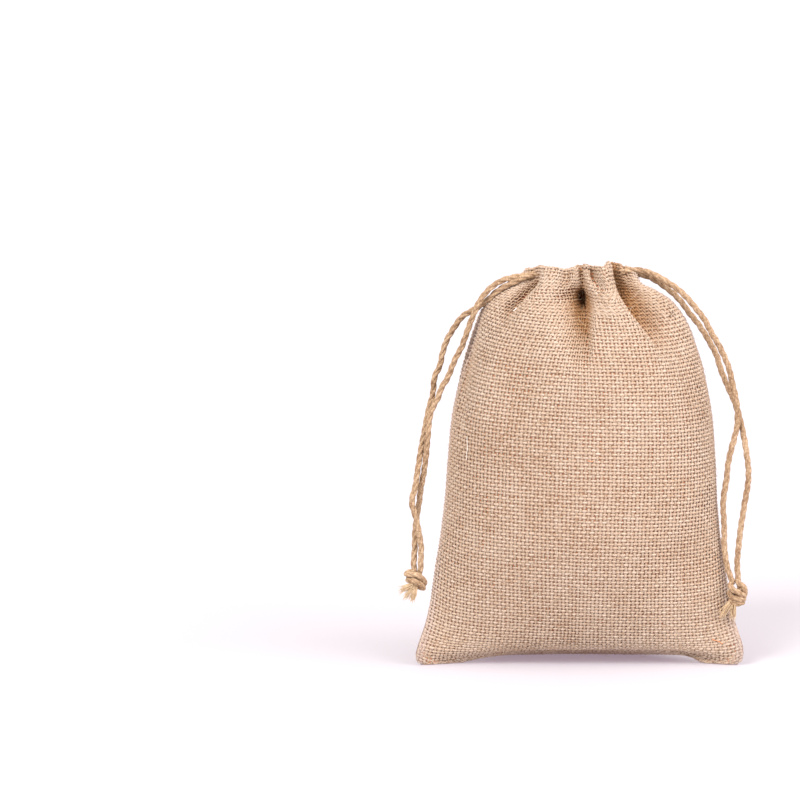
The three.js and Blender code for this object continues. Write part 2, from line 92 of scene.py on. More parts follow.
class Graph:
    """A node tree of a material or of a modifier."""

    def __init__(self, tree):
        self.tree = tree

    def node(self, kind, settings=None, sockets=None, output=0):
        made = self.tree.nodes.new(kind)
        for name, value in (settings or {}).items():
            if name == "stops":
                set_stops(made.color_ramp, value)
            else:
                setattr(made, name, value)
        for name, value in (sockets or {}).items():
            if isinstance(value, Wire):
                self.tree.links.new(value.socket, made.inputs[name])
            else:
                made.inputs[name].default_value = value
        return Wire(self, made.outputs[output]) if made.outputs else made

    def maths(self, operation, *values):
        return self.node("ShaderNodeMath", {"operation": operation}, dict(enumerate(values)))

    def vector_maths(self, operation, *values):
        return self.node("ShaderNodeVectorMath", {"operation": operation}, dict(enumerate(values)))

    def scaled(self, vector, amount):
        return self.node("ShaderNodeVectorMath", {"operation": "SCALE"}, {0: vector, "Scale": amount})

    def vector(self, x=0.0, y=0.0, z=0.0):
        return self.node("ShaderNodeCombineXYZ", None, {0: x, 1: y, 2: z})

    def parts(self, vector):
        x = self.node("ShaderNodeSeparateXYZ", None, {0: vector})
        return x, x.other(1), x.other(2)

    def clamped(self, value, low, high):
        return self.maths("MAXIMUM", self.maths("MINIMUM", value, high), low)

    def mix(self, factor, first, second):
        colours = {0: factor, 6: first, 7: second}
        return self.node("ShaderNodeMix", {"data_type": "RGBA"}, colours, output=2)

    def tinted(self, factor, colour, tint):
        """The colour multiplied by a tint, as far as the factor says."""
        settings = {"data_type": "RGBA", "blend_type": "MULTIPLY"}
        return self.node("ShaderNodeMix", settings, {0: factor, 6: colour, 7: (*tint, 1)}, output=2)

    def noise(self, vector, scale, detail=2.0, roughness=0.5):
        sockets = {"Vector": vector, "Scale": scale, "Detail": detail, "Roughness": roughness}
        return self.node("ShaderNodeTexNoise", None, sockets)

    def rising(self, value, start, end, top=1.0):
        """Goes smoothly from 0 to top while the value goes from start to end."""
        sockets = {0: value, 1: start, 2: end, 3: 0.0, 4: top}
        return self.node("ShaderNodeMapRange", {"interpolation_type": "SMOOTHSTEP"}, sockets)

    def painted(self, name, output="Fac"):
        """What an attribute of the mesh says to a material."""
        return self.node("ShaderNodeAttribute", {"attribute_name": name}, output=output)


class Wire:
    """An output socket that can stand in a sum."""

    def __init__(self, graph, socket):
        self.graph = graph
        self.socket = socket

    def other(self, output):
        return Wire(self.graph, self.socket.node.outputs[output])

    def __add__(self, value):
        return self.graph.maths("ADD", self, value)

    def __radd__(self, value):
        return self.graph.maths("ADD", value, self)

    def __sub__(self, value):
        return self.graph.maths("SUBTRACT", self, value)

    def __rsub__(self, value):
        return self.graph.maths("SUBTRACT", value, self)

    def __mul__(self, value):
        return self.graph.maths("MULTIPLY", self, value)

    def __rmul__(self, value):
        return self.graph.maths("MULTIPLY", value, self)

    def __truediv__(self, value):
        return self.graph.maths("DIVIDE", self, value)

    def __mod__(self, value):
        return self.graph.maths("FLOORED_MODULO", self, value)


def set_stops(ramp, stops):
    """Gives a colour ramp its stops, as pairs of a place and a grey or a colour."""
    while len(ramp.elements) < len(stops):
        ramp.elements.new(1.0)
    for element, (place, colour) in zip(ramp.elements, stops):
        element.position = place
        element.color = (*colour, 1) if isinstance(colour, tuple) else (colour, colour, colour, 1)


print("Graph and Wire are ready")

# %% [markdown]
# Growing geometry from a rule
#
# Yarns, plies and fibres repeat hundreds of times, so Geometry Nodes make them. Each tree is built
# here with named inputs, put on an object as a modifier, evaluated once and turned into a plain mesh.
# A modifier's input is set by the identifier of its socket, because two inputs may share a name. A
# tree starts with new_growth and ends with end_growth, and grown runs it.

# %% Helpers for Geometry Nodes
SOCKETS = {
    "number": "NodeSocketFloat",
    "count": "NodeSocketInt",
    "switch": "NodeSocketBool",
    "material": "NodeSocketMaterial",
}


def new_growth(name, inputs):
    """Starts a tree. inputs maps a name to a kind of socket. Returns its graph and its wires."""
    tree = bpy.data.node_groups.new(name, "GeometryNodeTree")
    tree.interface.new_socket("Geometry", in_out="INPUT", socket_type="NodeSocketGeometry")
    for label, kind in inputs.items():
        tree.interface.new_socket(label, in_out="INPUT", socket_type=SOCKETS[kind])
    tree.interface.new_socket("Geometry", in_out="OUTPUT", socket_type="NodeSocketGeometry")
    graph = Graph(tree)
    first = graph.node("NodeGroupInput")
    wires = {label: first.other(label) for label in ["Geometry", *inputs]}
    return graph, wires


def end_growth(graph, geometry, material):
    """Every tree ends in Realize Instances and Set Material."""
    real = graph.node("GeometryNodeRealizeInstances", None, {0: geometry})
    smooth = graph.node("GeometryNodeSetShadeSmooth", None, {0: real})
    dressed = graph.node("GeometryNodeSetMaterial", None, {0: smooth, "Material": material})
    last = graph.tree.nodes.new("NodeGroupOutput")
    graph.tree.links.new(dressed.socket, last.inputs[0])


def grown(seed_object, graph, values, name):
    """Evaluates the tree on an object and returns what it grew as a new plain object."""
    modifier = seed_object.modifiers.new("growth", "NODES")
    modifier.node_group = graph.tree
    for item in graph.tree.interface.items_tree:
        if item.in_out == "INPUT" and item.name in values:
            modifier[item.identifier] = values[item.name]
    seed_object.update_tag()
    evaluated = seed_object.evaluated_get(bpy.context.evaluated_depsgraph_get())
    mesh = bpy.data.meshes.new_from_object(evaluated)
    seed_object.modifiers.remove(modifier)
    mesh.name = name
    piece = bpy.data.objects.new(name, mesh)
    bpy.context.scene.collection.objects.link(piece)
    mesh.calc_loop_triangles()
    print(f"{name}: {len(mesh.loop_triangles)} triangles")
    return piece


def line_object(name, lines):
    """An object of open lines of points, in millimetres, for a tree to grow on."""
    points = np.concatenate([np.asarray(line, float) for line in lines]) * MM
    edges = []
    start = 0
    for line in lines:
        edges += [(start + k, start + k + 1) for k in range(len(line) - 1)]
        start += len(line)
    mesh = bpy.data.meshes.new(name)
    mesh.from_pydata(points.tolist(), edges, [])
    made = bpy.data.objects.new(name, mesh)
    bpy.context.scene.collection.objects.link(made)
    return made


def discard(made):
    bpy.data.objects.remove(made)


print("Kinds of input:", *SOCKETS)

# %% [markdown]
# Parts that every tree uses
#
# A point can carry values from one node to a later one under a name: stored writes one and named
# reads it. Smooth noise bends things, and white noise gives each its own luck, the same on every
# run. Yarns, plies and fibres are all made in one way: a small ring is swept along a line, and the
# ring's size may change on the way.

# %% Helpers for the trees


def stored(graph, geometry, name, value, kind="FLOAT_VECTOR"):
    settings = {"data_type": kind, "domain": "POINT"}
    sockets = {0: geometry, "Name": name, "Value": value}
    return graph.node("GeometryNodeStoreNamedAttribute", settings, sockets)


def named(graph, name, kind="FLOAT_VECTOR"):
    return graph.node("GeometryNodeInputNamedAttribute", {"data_type": kind}, {0: name})


def moved_by(graph, geometry, offset):
    return graph.node("GeometryNodeSetPosition", None, {0: geometry, "Offset": offset})


def moved_to(graph, geometry, place):
    return graph.node("GeometryNodeSetPosition", None, {0: geometry, "Position": place})


def luck_at(graph, vector, output="Value"):
    return graph.node("ShaderNodeTexWhiteNoise", {"noise_dimensions": "3D"}, {"Vector": vector}, output)


def centred(graph, vector):
    return graph.vector_maths("SUBTRACT", vector, (0.5, 0.5, 0.5))


def bend_at(graph, vector):
    """Smooth noise in all three directions, from -0.5 to 0.5."""
    sockets = {"Vector": vector, "Scale": 1.0, "Detail": 1.0}
    return centred(graph, graph.node("ShaderNodeTexNoise", None, sockets, "Color"))


def ring(graph, sides, radius):
    """A ring whose points know where they are round the yarn."""
    circle = graph.node("GeometryNodeCurvePrimitiveCircle", None, {0: sides, 4: radius})
    around = graph.node("GeometryNodeSplineParameter") * math.tau
    return stored(graph, circle, "around", around, "FLOAT")


def swept(graph, line, section, size):
    sockets = {0: line, "Profile Curve": section, "Scale": size, "Fill Caps": True}
    return graph.node("GeometryNodeCurveToMesh", None, sockets)


def with_fibre(graph, tubes, twist, stretch):
    """Writes the fibre attribute: two numbers turn with the fibres, and one runs along them."""
    length, number, start = graph.parts(named(graph, "along"))
    angle = named(graph, "around", "FLOAT") + length * twist
    fibre = graph.vector(
        graph.maths("COSINE", angle) + number * 5.0,
        graph.maths("SINE", angle) + start * 9.0,
        length * stretch + number * 3.7,
    )
    return stored(graph, tubes, "fibre", fibre)


print("Rings can be swept along lines")

# %% [markdown]
# Jute
#
# Jute is a pale gold-brown bast fibre. A yarn of it is mottled along its length, because every fibre
# reflects a little differently, and it is dull with a faint sheen. One material serves cloth and cords.
# It reads an attribute that each growing tree writes: two numbers that turn with the fibres round the
# yarn and one that runs along it, so the streaks follow the twist and have no seam. A second attribute
# says how deep in a fold a point lies. Light that gets there has met jute several times on its way and
# is golden, so a golden shade is painted into the material there.

# %% Jute material
# Painted rim light: a pale lilac strip along the side seams, where light from behind brightens the
# bag's edges.
SEAM_RIM_LIGHT = (0.55, 0.43, 0.38)
RIM_LIGHT_STARTS, RIM_LIGHT_FULL, RIM_LIGHT_SHARE = 0.462, 0.486, 0.5
# Painted shade: the golden tint that grows deeper in the folds.
PAINTED_FOLD_SHADE = (0.76, 0.56, 0.36)
COLOUR_PLACES = (0.3, 0.5, 0.74)
FLECK_SCALE = 1100.0


def dull_cloth(graph, colour, height, strength, depth, roughness, gloss):
    """Joins colour and relief to the shader. depth is how far the relief stands out, in metres."""
    sockets = {"Strength": strength, "Distance": depth, "Height": height}
    relief = graph.node("ShaderNodeBump", None, sockets)
    shader = graph.tree.nodes["Principled BSDF"]
    graph.tree.links.new(colour.socket, shader.inputs["Base Color"])
    graph.tree.links.new(relief.socket, shader.inputs["Normal"])
    shader.inputs["Roughness"].default_value = roughness
    shader.inputs["Specular IOR Level"].default_value = gloss


def jute(name, dark, middle, light, streaks, patch_scale, bump, seam=None):
    """A material of twisted jute fibre from three colours. seam is painted rim light: a paler colour
    along the side seams, where light from behind brightens the edges.
    """
    material = bpy.data.materials.new(name)
    material.use_nodes = True
    graph = Graph(material.node_tree)
    fibre = graph.painted("fibre", "Vector")
    place = graph.node("ShaderNodeTexCoord", output="Object")
    streak = graph.noise(fibre, streaks, 3.0, 0.65)
    fleck = graph.noise(place, FLECK_SCALE, 2.0, 0.6)
    patch = graph.noise(place, patch_scale, 2.0, 0.5)
    lump = graph.noise(fibre, streaks * 0.25, 1.0)
    tone = streak * 0.7 + fleck * 0.4 + patch * 0.22 + lump * 0.35 - 0.3
    stops = list(zip(COLOUR_PLACES, (dark, middle, light)))
    colour = graph.node("ShaderNodeValToRGB", {"stops": stops}, {0: tone})
    # Painted golden shade, stronger the deeper a point lies in a fold.
    colour = graph.tinted(graph.painted("hollow"), colour, PAINTED_FOLD_SHADE)
    # Painted rim light: paler along the side seams.
    if seam:
        across, _, _ = graph.parts(graph.painted("flat", "Vector"))
        edge = graph.maths("ABSOLUTE", across - 0.5)
        strip = graph.rising(edge, RIM_LIGHT_STARTS, RIM_LIGHT_FULL, RIM_LIGHT_SHARE)
        colour = graph.mix(strip, colour, (*seam, 1))
    dull_cloth(graph, colour, streak, strength=bump, depth=0.0002, roughness=0.9, gloss=0.25)
    return material


WARP_JUTE = jute(
    "warp_jute", (0.34, 0.19, 0.11), (0.48, 0.35, 0.255), (0.57, 0.455, 0.37),
    streaks=1.6, patch_scale=45.0, bump=0.6, seam=SEAM_RIM_LIGHT,
)
WEFT_JUTE = jute(
    "weft_jute", (0.39, 0.22, 0.125), (0.52, 0.38, 0.28), (0.645, 0.52, 0.425),
    streaks=1.6, patch_scale=45.0, bump=0.6, seam=SEAM_RIM_LIGHT,
)
CORD_JUTE = jute(
    "cord_jute", (0.16, 0.08, 0.04), (0.37, 0.235, 0.14), (0.62, 0.45, 0.3),
    streaks=1.4, patch_scale=60.0, bump=0.9,
)
TUFT_JUTE = jute(
    "frayed_jute", (0.34, 0.19, 0.09), (0.62, 0.44, 0.27), (0.86, 0.68, 0.48),
    streaks=1.2, patch_scale=60.0, bump=0.4,
)
print("Jute for", WARP_JUTE.name, WEFT_JUTE.name, CORD_JUTE.name, TUFT_JUTE.name)

# %% [markdown]
# The cords
#
# Each cord is jute twine of three plies. A flat tube with a striped picture on it would not catch the
# light in its grooves, so the plies are real: three tubes that wind round one line. The line is the
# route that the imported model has, point by point, because the piece has to lie where its solid lies.
# It differs only at its start, where it runs on into the hem, so that no cut end shows there.

# %% Routes of the four hanging runs, in millimetres
CORD_DIAMETER = 2.7
ROUTES = {
    "right_cord_front": [
        (17.5, -0.4, 177), (21.8, -0.8, 177.9), (25.9, -1.2, 177.8), (28.9, -1.6, 177.3),
        (32.5, -2, 175.7), (36.1, -2.4, 173.9), (39.7, -2.8, 171.6), (43.3, -3.2, 169.1),
        (47.8, -3.8, 164.7), (51.6, -4.5, 160.1), (54.7, -5.2, 156.1), (57.3, -6, 151),
        (59.9, -6.8, 146.7), (62.9, -7.6, 141.1), (65.5, -8.6, 134.5), (67.5, -9.6, 125.8),
        (68.4, -10.2, 122.2), (69.3, -10.9, 115.7), (69.2, -11.2, 108.9), (68.1, -11.2, 103.7),
        (66.8, -11.2, 98.4), (65.4, -11.2, 91.6), (64.8, -11.4, 84.6), (63.7, -11.5, 77.6),
        (63.5, -11.6, 71.7), (63.8, -11.7, 68.1), (64.1, -11.8, 62.3), (64.2, -12, 55),
        (64.8, -12.6, 49.7), (65.9, -13.5, 44.2), (67.3, -14.4, 40.4), (68.1, -14.7, 38.9),
    ],
    "right_cord_back": [
        (18.5, 1.4, 175), (22.6, 1.7, 175.9), (26.6, 1.8, 175.5), (29.9, 1.8, 174.7),
        (34.3, 1.6, 172.4), (37.9, 1.4, 169.7), (41.5, 1.1, 166.8), (45.6, 0.7, 162.3),
        (48.3, 0.3, 158.5), (50.7, -0.2, 155.7), (53.6, -0.8, 151.8), (56.8, -1.6, 146.6),
        (60.3, -2.8, 140.1), (62.4, -4, 133.4), (64.2, -4.9, 128.9), (65.9, -5.8, 124.9),
        (68.3, -7, 119.7), (69.9, -7.8, 114.9), (71.3, -8.7, 109.6), (72.5, -9.6, 103.8),
        (74, -10.7, 94.7), (74.7, -11.3, 85.4), (73.2, -12, 75.4), (72.4, -12.3, 69.6),
        (71.5, -12.6, 64), (71, -12.9, 59.3), (70.3, -13.2, 52.4), (70, -13.5, 47),
        (70.5, -13.6, 39.7),
    ],
    "left_cord_front": [
        (-16.5, -0.6, 177.2), (-20.5, -1.2, 176.4), (-24.6, -2.2, 175.5), (-27.2, -2.8, 175.4),
        (-30.1, -3.3, 175), (-35.4, -3.8, 173.6), (-39.9, -4.4, 171), (-43.8, -5, 167.1),
        (-46.5, -5.4, 162.8), (-47.8, -5.6, 159.9), (-49.8, -5.6, 154.7), (-52.3, -5.6, 147.6),
        (-53.8, -5.8, 143.5), (-56, -6.2, 139.6), (-57.8, -6.6, 135.4), (-59.7, -7, 130.6),
        (-62.7, -7.6, 125.6), (-64, -8, 121.8), (-65.8, -8.6, 118.6), (-67.5, -9.2, 114.5),
        (-68.3, -9.8, 109.3), (-68.7, -10.2, 104.5), (-69.4, -10.2, 97.3), (-70.4, -9.8, 88.6),
        (-71.9, -9.3, 80.4), (-72.6, -9, 74.3), (-74.4, -9.6, 61.5), (-74.6, -11, 53),
        (-75, -12, 47.6), (-74.9, -12.2, 43),
    ],
    "left_cord_back": [
        (-18, -1, 176), (-22, -2.4, 175.6), (-26, -3.6, 174.8), (-28.8, -3.8, 173.5),
        (-34.5, -3.8, 170.8), (-38.5, -3.6, 168.1), (-42.1, -3, 164.6), (-46.5, -1, 161.1),
        (-52.7, 0.8, 157.2), (-54.9, 1.3, 154.8), (-57.8, 1.6, 150.3), (-59.7, 1.6, 147.1),
        (-61.2, 1.5, 143.4), (-62.3, 1.2, 139.4), (-63.3, 0.8, 134.6), (-65.6, -0.2, 129.6),
        (-66.4, -2, 122.6), (-68.4, -4.2, 115.1), (-70.6, -7, 104.1), (-71.9, -8.4, 97.1),
        (-73.3, -11.4, 89), (-74.4, -12.6, 81.6), (-75.9, -13.6, 75.1), (-74.1, -13.8, 68.1),
        (-72.5, -13.6, 60), (-71.8, -13.4, 54.5), (-71.8, -13.2, 48.6), (-72.1, -13, 43.4),
    ],
}
print("Routes:", ", ".join(ROUTES))

# %% [markdown]
# Smooth lines
#
# A limp cord has no corners, so a smooth curve is laid through the points of its route. Its length is
# measured along that curve.

# %% A smooth curve through each route


def smooth_line(points, step):
    """A smooth curve through points, as points about a step apart."""
    points = np.asarray(points, float)
    spans = np.sqrt(np.linalg.norm(np.diff(points, axis=0), axis=1))
    knots = np.concatenate([[0], np.cumsum(spans)])
    slopes = np.gradient(points, knots, axis=0)
    fine = []
    for k in range(len(points) - 1):
        gap = knots[k + 1] - knots[k]
        count = max(2, int(np.ceil(gap**2 / step)))
        s = np.linspace(0, 1, count, endpoint=False)[:, None]
        fine.append(
            (2 * s**3 - 3 * s**2 + 1) * points[k]
            + (s**3 - 2 * s**2 + s) * slopes[k] * gap
            + (3 * s**2 - 2 * s**3) * points[k + 1]
            + (s**3 - s**2) * slopes[k + 1] * gap
        )
    return np.concatenate([*fine, points[-1:]])


def line_length(line):
    return float(np.linalg.norm(np.diff(line, axis=0), axis=1).sum())


cord_lines = {name: smooth_line(route, 1.0) for name, route in ROUTES.items()}
for name, line in cord_lines.items():
    print(f"{name}: {line_length(line):.0f} mm from the hem to the knot")

# %% [markdown]
# Laying up a cord
#
# The tree copies the line once for each ply and moves each copy off the line by a turning offset. It
# is the way a rope is made. Then a small ring is swept along each copy. Uneven ply thickness comes
# from noise along the length, since twine is never quite even.

# %% The tree that lays up a cord
cord_growth, cord_in = new_growth(
    "laid_cord",
    {
        "Plies": "count",
        "Ply Radius": "number",
        "Offset": "number",
        "Lay": "number",
        "Start Turn": "number",
        "Unevenness": "number",
        "Sides": "count",
        "Material": "material",
    },
)


def build_laid_cord(graph, given):
    line = graph.node("GeometryNodeMeshToCurve", None, {0: given["Geometry"]})
    sockets = {0: line, "Amount": given["Plies"]}
    copies = graph.node("GeometryNodeDuplicateElements", {"domain": "SPLINE"}, sockets)
    number = copies.other("Duplicate Index")
    along = graph.node("GeometryNodeSplineParameter", output="Length")
    angle = (along / given["Lay"] + number / given["Plies"] + given["Start Turn"]) * math.tau
    normal = graph.node("GeometryNodeInputNormal")
    side = graph.vector_maths("CROSS_PRODUCT", graph.node("GeometryNodeInputTangent"), normal)
    outward = graph.vector_maths(
        "ADD",
        graph.scaled(normal, graph.maths("COSINE", angle)),
        graph.scaled(side, graph.maths("SINE", angle)),
    )
    place = graph.vector(along * 150.0, number * 7.3, given["Start Turn"] * 31.0)
    uneven = (graph.noise(place, 1.0, 2.0) - 0.5) * given["Unevenness"]
    plies = moved_by(graph, copies, graph.scaled(outward, given["Offset"]))
    plies = stored(graph, plies, "along", graph.vector(along / MM, number, given["Start Turn"]))
    tubes = swept(graph, plies, ring(graph, given["Sides"], given["Ply Radius"]), 1.0 + uneven)
    end_growth(graph, with_fibre(graph, tubes, 2.2, 0.55), given["Material"])


build_laid_cord(cord_growth, cord_in)
print("Tree", cord_growth.tree.name, "has", len(cord_growth.tree.nodes), "nodes")

# %% [markdown]
# Jute twine
#
# One turn of the lay takes about five diameters, as in the real twine. The plies press into each
# other a little, so their radius and their offset add up to slightly more than half the cord.

# %% Lay up the four runs
TWINE = {
    "Plies": 3,
    "Ply Radius": 0.28 * CORD_DIAMETER * MM,
    "Offset": 0.245 * CORD_DIAMETER * MM,
    "Lay": 13 * MM,
    "Unevenness": 0.5,
    "Sides": 9,
    "Material": CORD_JUTE,
}


def laid_up(name, lines, start_turn, changes=None):
    """Lays up twine along lines. changes says what is different from TWINE."""
    seed_object = line_object(name + "_line", lines)
    values = {**TWINE, "Start Turn": start_turn, **(changes or {})}
    made = grown(seed_object, cord_growth, values, name)
    discard(seed_object)
    return made


cords = {}
for k, (name, line) in enumerate(cord_lines.items()):
    cords[name] = laid_up(name + "_plies", [line], 0.13 + 0.29 * k)

# %% [markdown]
# The shape of the cloth
#
# The cloth hangs in level rows, one for each height up the flat cloth. A row has half its width, its
# shift to the side, a depth and a height for the middle of the front, of the back and of the seams,
# and three numbers for its curve: edge says how thin the bag runs out towards its seams, and the two
# rises how late the row climbs to them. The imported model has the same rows. A few at the lower
# corners and the neck are shaped more closely here, because yarns show what flat faces hide.

# %% Rows of cloth, in millimetres
BAG_WIDTH = 150
BAG_HEIGHT = 200
HEM_TURNED_IN = 16
ROW_COLUMNS = (
    "up", "half", "shift", "front_y", "front_z", "back_y", "back_z", "seam_y", "seam_z", "edge",
    "front_rise", "back_rise",
)
ROWS = [
    (0, 70.6, -0.3, -2.5, 5.2, -2.5, 5.2, -10, 0.9, 2, 6, 6),
    (3, 73.6, -0.4, -5.4, 6.4, 0.3, 3.8, -12.4, 4.6, 2, 7, 5),
    (10, 73.1, -0.1, -11.8, 7.2, 6.7, 1.2, -14.4, 9.8, 1.9, 8, 3.8),
    (16, 71.4, 0, -15.6, 10, 12.6, -0.4, -13.7, 15, 1.85, 8, 3),
    (22, 69.8, 0, -18.9, 14.6, 18.6, -0.6, -12.8, 20.2, 1.8, 8, 2.8),
    (33, 67.9, 0, -23.9, 24.4, 28, 5.5, -11.2, 29.8, 1.6, 8, 2.6),
    (43, 66.5, -0.1, -27.5, 33.6, 32.3, 14.9, -9.9, 38.6, 1.45, 8, 2.5),
    (53, 65, -0.2, -30.6, 43.1, 34.4, 25.2, -8.7, 47.4, 1.32, 8, 2.4),
    (63, 63.5, -0.15, -33.1, 52.7, 35.7, 35.7, -7.8, 56.2, 1.22, 8, 2.3),
    (73, 62.4, 0, -35, 62.3, 36.3, 46.2, -7, 65, 1.16, 8, 2.2),
    (85, 61.3, 0.1, -36.1, 74, 36.6, 58.8, -6.1, 75.9, 1.1, 8, 2.2),
    (95, 60.7, 0.25, -36.5, 83.8, 36.6, 69.3, -5.4, 85.6, 1.06, 8, 2.2),
    (107, 59.9, 0.35, -36.6, 95.6, 36.1, 81.9, -4.6, 97.4, 1.04, 8, 2.2),
    (122, 58.5, 0.45, -36.2, 110.2, 34.6, 97.6, -3.6, 112.3, 1, 8, 2.2),
    (135, 56.1, 0.6, -35.3, 122.8, 32.4, 111.2, -2.8, 125.3, 1, 8, 2.3),
    (146, 53.6, 0.55, -33.5, 133.3, 29.9, 122.4, -2.1, 136.2, 1, 7, 2.4),
    (156, 50.6, 0.35, -30.9, 142.6, 27, 132.5, -1.6, 145.9, 1, 5.5, 2.5),
    (163, 48.3, 0.2, -28.1, 148.9, 24.4, 139.4, -1.2, 152.6, 1, 4.5, 2.6),
    (171, 44.9, -0.4, -24.4, 155.7, 21.5, 147.2, -0.8, 159.6, 1, 3.5, 2.8),
    (178, 40.6, -0.85, -20.6, 161.4, 18.7, 154.2, -0.6, 164.9, 1, 3, 3),
    (186, 34.2, -1.6, -15.9, 167.7, 15.2, 162.4, -0.4, 169.3, 1, 3, 3),
    (193, 28, -1.5, -11.9, 173.2, 12, 170, -0.3, 172.9, 1, 3, 3),
    (200, 26, -1.6, -8, 178.9, 8.8, 178.1, -0.3, 178.6, 1, 3, 3),
]
rows = {name: np.array(column, float) for name, column in zip(ROW_COLUMNS, zip(*ROWS))}
print(len(ROWS), "rows of cloth")

# %% [markdown]
# Folds
#
# A fold is a dent in a panel, or a crest where its depth is below zero. It starts at the height top,
# is deepest at peak and has gone at end. Its middle lies at so many degrees round the row, and drifts
# from at to foot on the way down. Left and right are how far it reaches to either side, so that a
# fold can have one steep wall and one gentle one, as cloth that is drawn together does.

# %% Folds, in degrees and millimetres
FOLD_COLUMNS = ("panel", "at", "foot", "deep", "left", "right", "top", "peak", "end")
FOLDS = [
    ("front", 4, 3.5, 13, 2.4, 1.9, 190.5, 183.5, 175),
    ("front", 3.5, -1.5, 10, 8, 1.8, 197, 180, 146),
    ("front", 2, -3, 2, 13, 5, 210, 182, 146),
    ("front", 2, 3.5, 5.5, 1.1, 1.3, 230, 197, 186),
    ("front", 42, 35, 10, 1.8, 7.5, 228, 192, 170),
    ("front", 35.5, 46, 9, 2, 9.5, 197, 177, 150),
    ("front", -46, -54, 6.4, 6, 2, 210, 186, 164),
    ("front", -13, -17, 3.4, 1.9, 2.4, 220, 198, 187),
    ("front", 13, 17, 7, 1.4, 2, 206, 196.5, 188),
    ("front", 64, 60, 2.6, 1.6, 2, 225, 198, 188),
    ("front", -58, -60, 2.2, 1.6, 1.6, 225, 199, 190),
    ("front", -36, -42, -3, 3, 8, 214, 189, 160),
    ("front", 20, 17, -4, 4.5, 5, 214, 188, 156),
    ("front", 70, 72, -1.6, 4, 4, 214, 188, 172),
    ("front", -83, -62, 1.9, 3, 6, 182, 151, 104),
    ("front", -40, -30, 1.4, 12, 12, 180, 150, 112),
    ("front", 48, 40, 1.1, 14, 12, 92, 62, 30),
    ("back", -52, -58, 4.6, 3.4, 6, 214, 190, 158),
    ("back", -22, -26, 4.8, 3, 7, 214, 189, 152),
    ("back", -5, -5, -2.3, 6, 6, 214, 191, 168),
    ("back", 12, 14, 5, 6, 3, 214, 190, 156),
    ("back", 46, 55, 4.8, 4, 7, 214, 188, 154),
    ("back", 20, 10, 1.3, 16, 14, 150, 105, 60),
]
folds = [dict(zip(FOLD_COLUMNS, fold)) for fold in FOLDS]
print(len(folds), "folds")

# %% [markdown]
# Gathers
#
# A row of the neck is much shorter than the cloth is wide. The cloth that is missing lies in the
# gathers, where its yarns crowd together. Each list follows one gather down a panel. Its entries say,
# at a height: the degrees of its middle, how far it reaches left and right, and its share of the
# hidden cloth. What no gather takes is spread evenly.

# %% Gathers and the top edge
GATHERS = {
    "front": [
        [
            (130, -2.5, 10, 6, 0.3), (150, -2.5, 8, 4, 0.34), (165, 0, 7, 2.2, 0.37),
            (178, 2, 5, 1.7, 0.4), (185.5, 1, 3, 1.8, 0.4), (192, 0, 2, 1.6, 0.32),
            (200, -2, 1.3, 1.4, 0.26),
        ],
        [
            (130, 47, 8, 12, 0.3), (150, 46, 4, 11, 0.36), (165, 40, 2.5, 10, 0.38),
            (176, 36, 2, 8, 0.38), (190, 41.5, 2, 6, 0.36), (200, 42, 1.8, 4, 0.3),
        ],
        [
            (130, -58, 8, 8, 0.24), (160, -56, 7, 3, 0.22), (176, -50, 6, 2.5, 0.18),
            (186, -47, 5, 2, 0.18), (200, -46, 4, 2, 0.16),
        ],
        [(176, 18, 4, 4, 0), (192, 17, 1.5, 2, 0.06), (200, 13, 1.3, 1.6, 0.11)],
        [(184, -16, 4, 4, 0), (200, -13, 1.8, 2, 0.09)],
    ],
    "back": [
        [
            (120, -60, 8, 12, 0.28), (160, -58, 4, 8, 0.26), (190, -52, 3, 4, 0.24),
            (200, -52, 3, 4, 0.24),
        ],
        [
            (120, -28, 6, 12, 0.22), (155, -26, 3, 7, 0.24), (190, -22, 2, 4, 0.24),
            (200, -22, 2, 4, 0.24),
        ],
        [
            (120, 16, 12, 6, 0.22), (155, 14, 7, 3, 0.24), (190, 12, 4, 2, 0.24),
            (200, 12, 4, 2, 0.24),
        ],
        [
            (120, 58, 8, 10, 0.24), (155, 55, 5, 8, 0.24), (188, 47, 3, 5, 0.24),
            (200, 46, 3, 4, 0.24),
        ],
    ],
}
TOP_EDGE = [
    (-90, -2.6), (-60, -0.7), (-48, 0.4), (-32, 1.2), (-22, 0.8), (-14, -0.6), (-6, 0.4),
    (-2.5, -0.3), (3, 1.1), (8, 0.9), (14, 0.1), (21, 1), (30, 2.5), (38, 1.9), (52, 1.3),
    (62, 0.4), (75, -0.8), (90, -2),
]
TOP_EDGE_DEPTH = 13
EAR_PLACE, EAR_DROP, EAR_END = 0.9, 5.2, 15
EAR_LEFT, EAR_RIGHT, EAR_OUTER = 0.38, 0.2, 0.09
print(len(GATHERS["front"]), "gathers in front and", len(GATHERS["back"]), "behind")

# %% [markdown]
# From numbers to points
#
# Each column of the rows becomes a smooth curve, so that a row can be had at any height. The curve is
# made piece by piece from the values and slopes at the given heights. It keeps close to them, where
# one formula through all of them would swing wide in between.

# %% Smooth curves through the rows


def smoothstep(start, end, value):
    share = np.clip((value - start) / (end - start), 0, 1)
    return share * share * (3 - 2 * share)


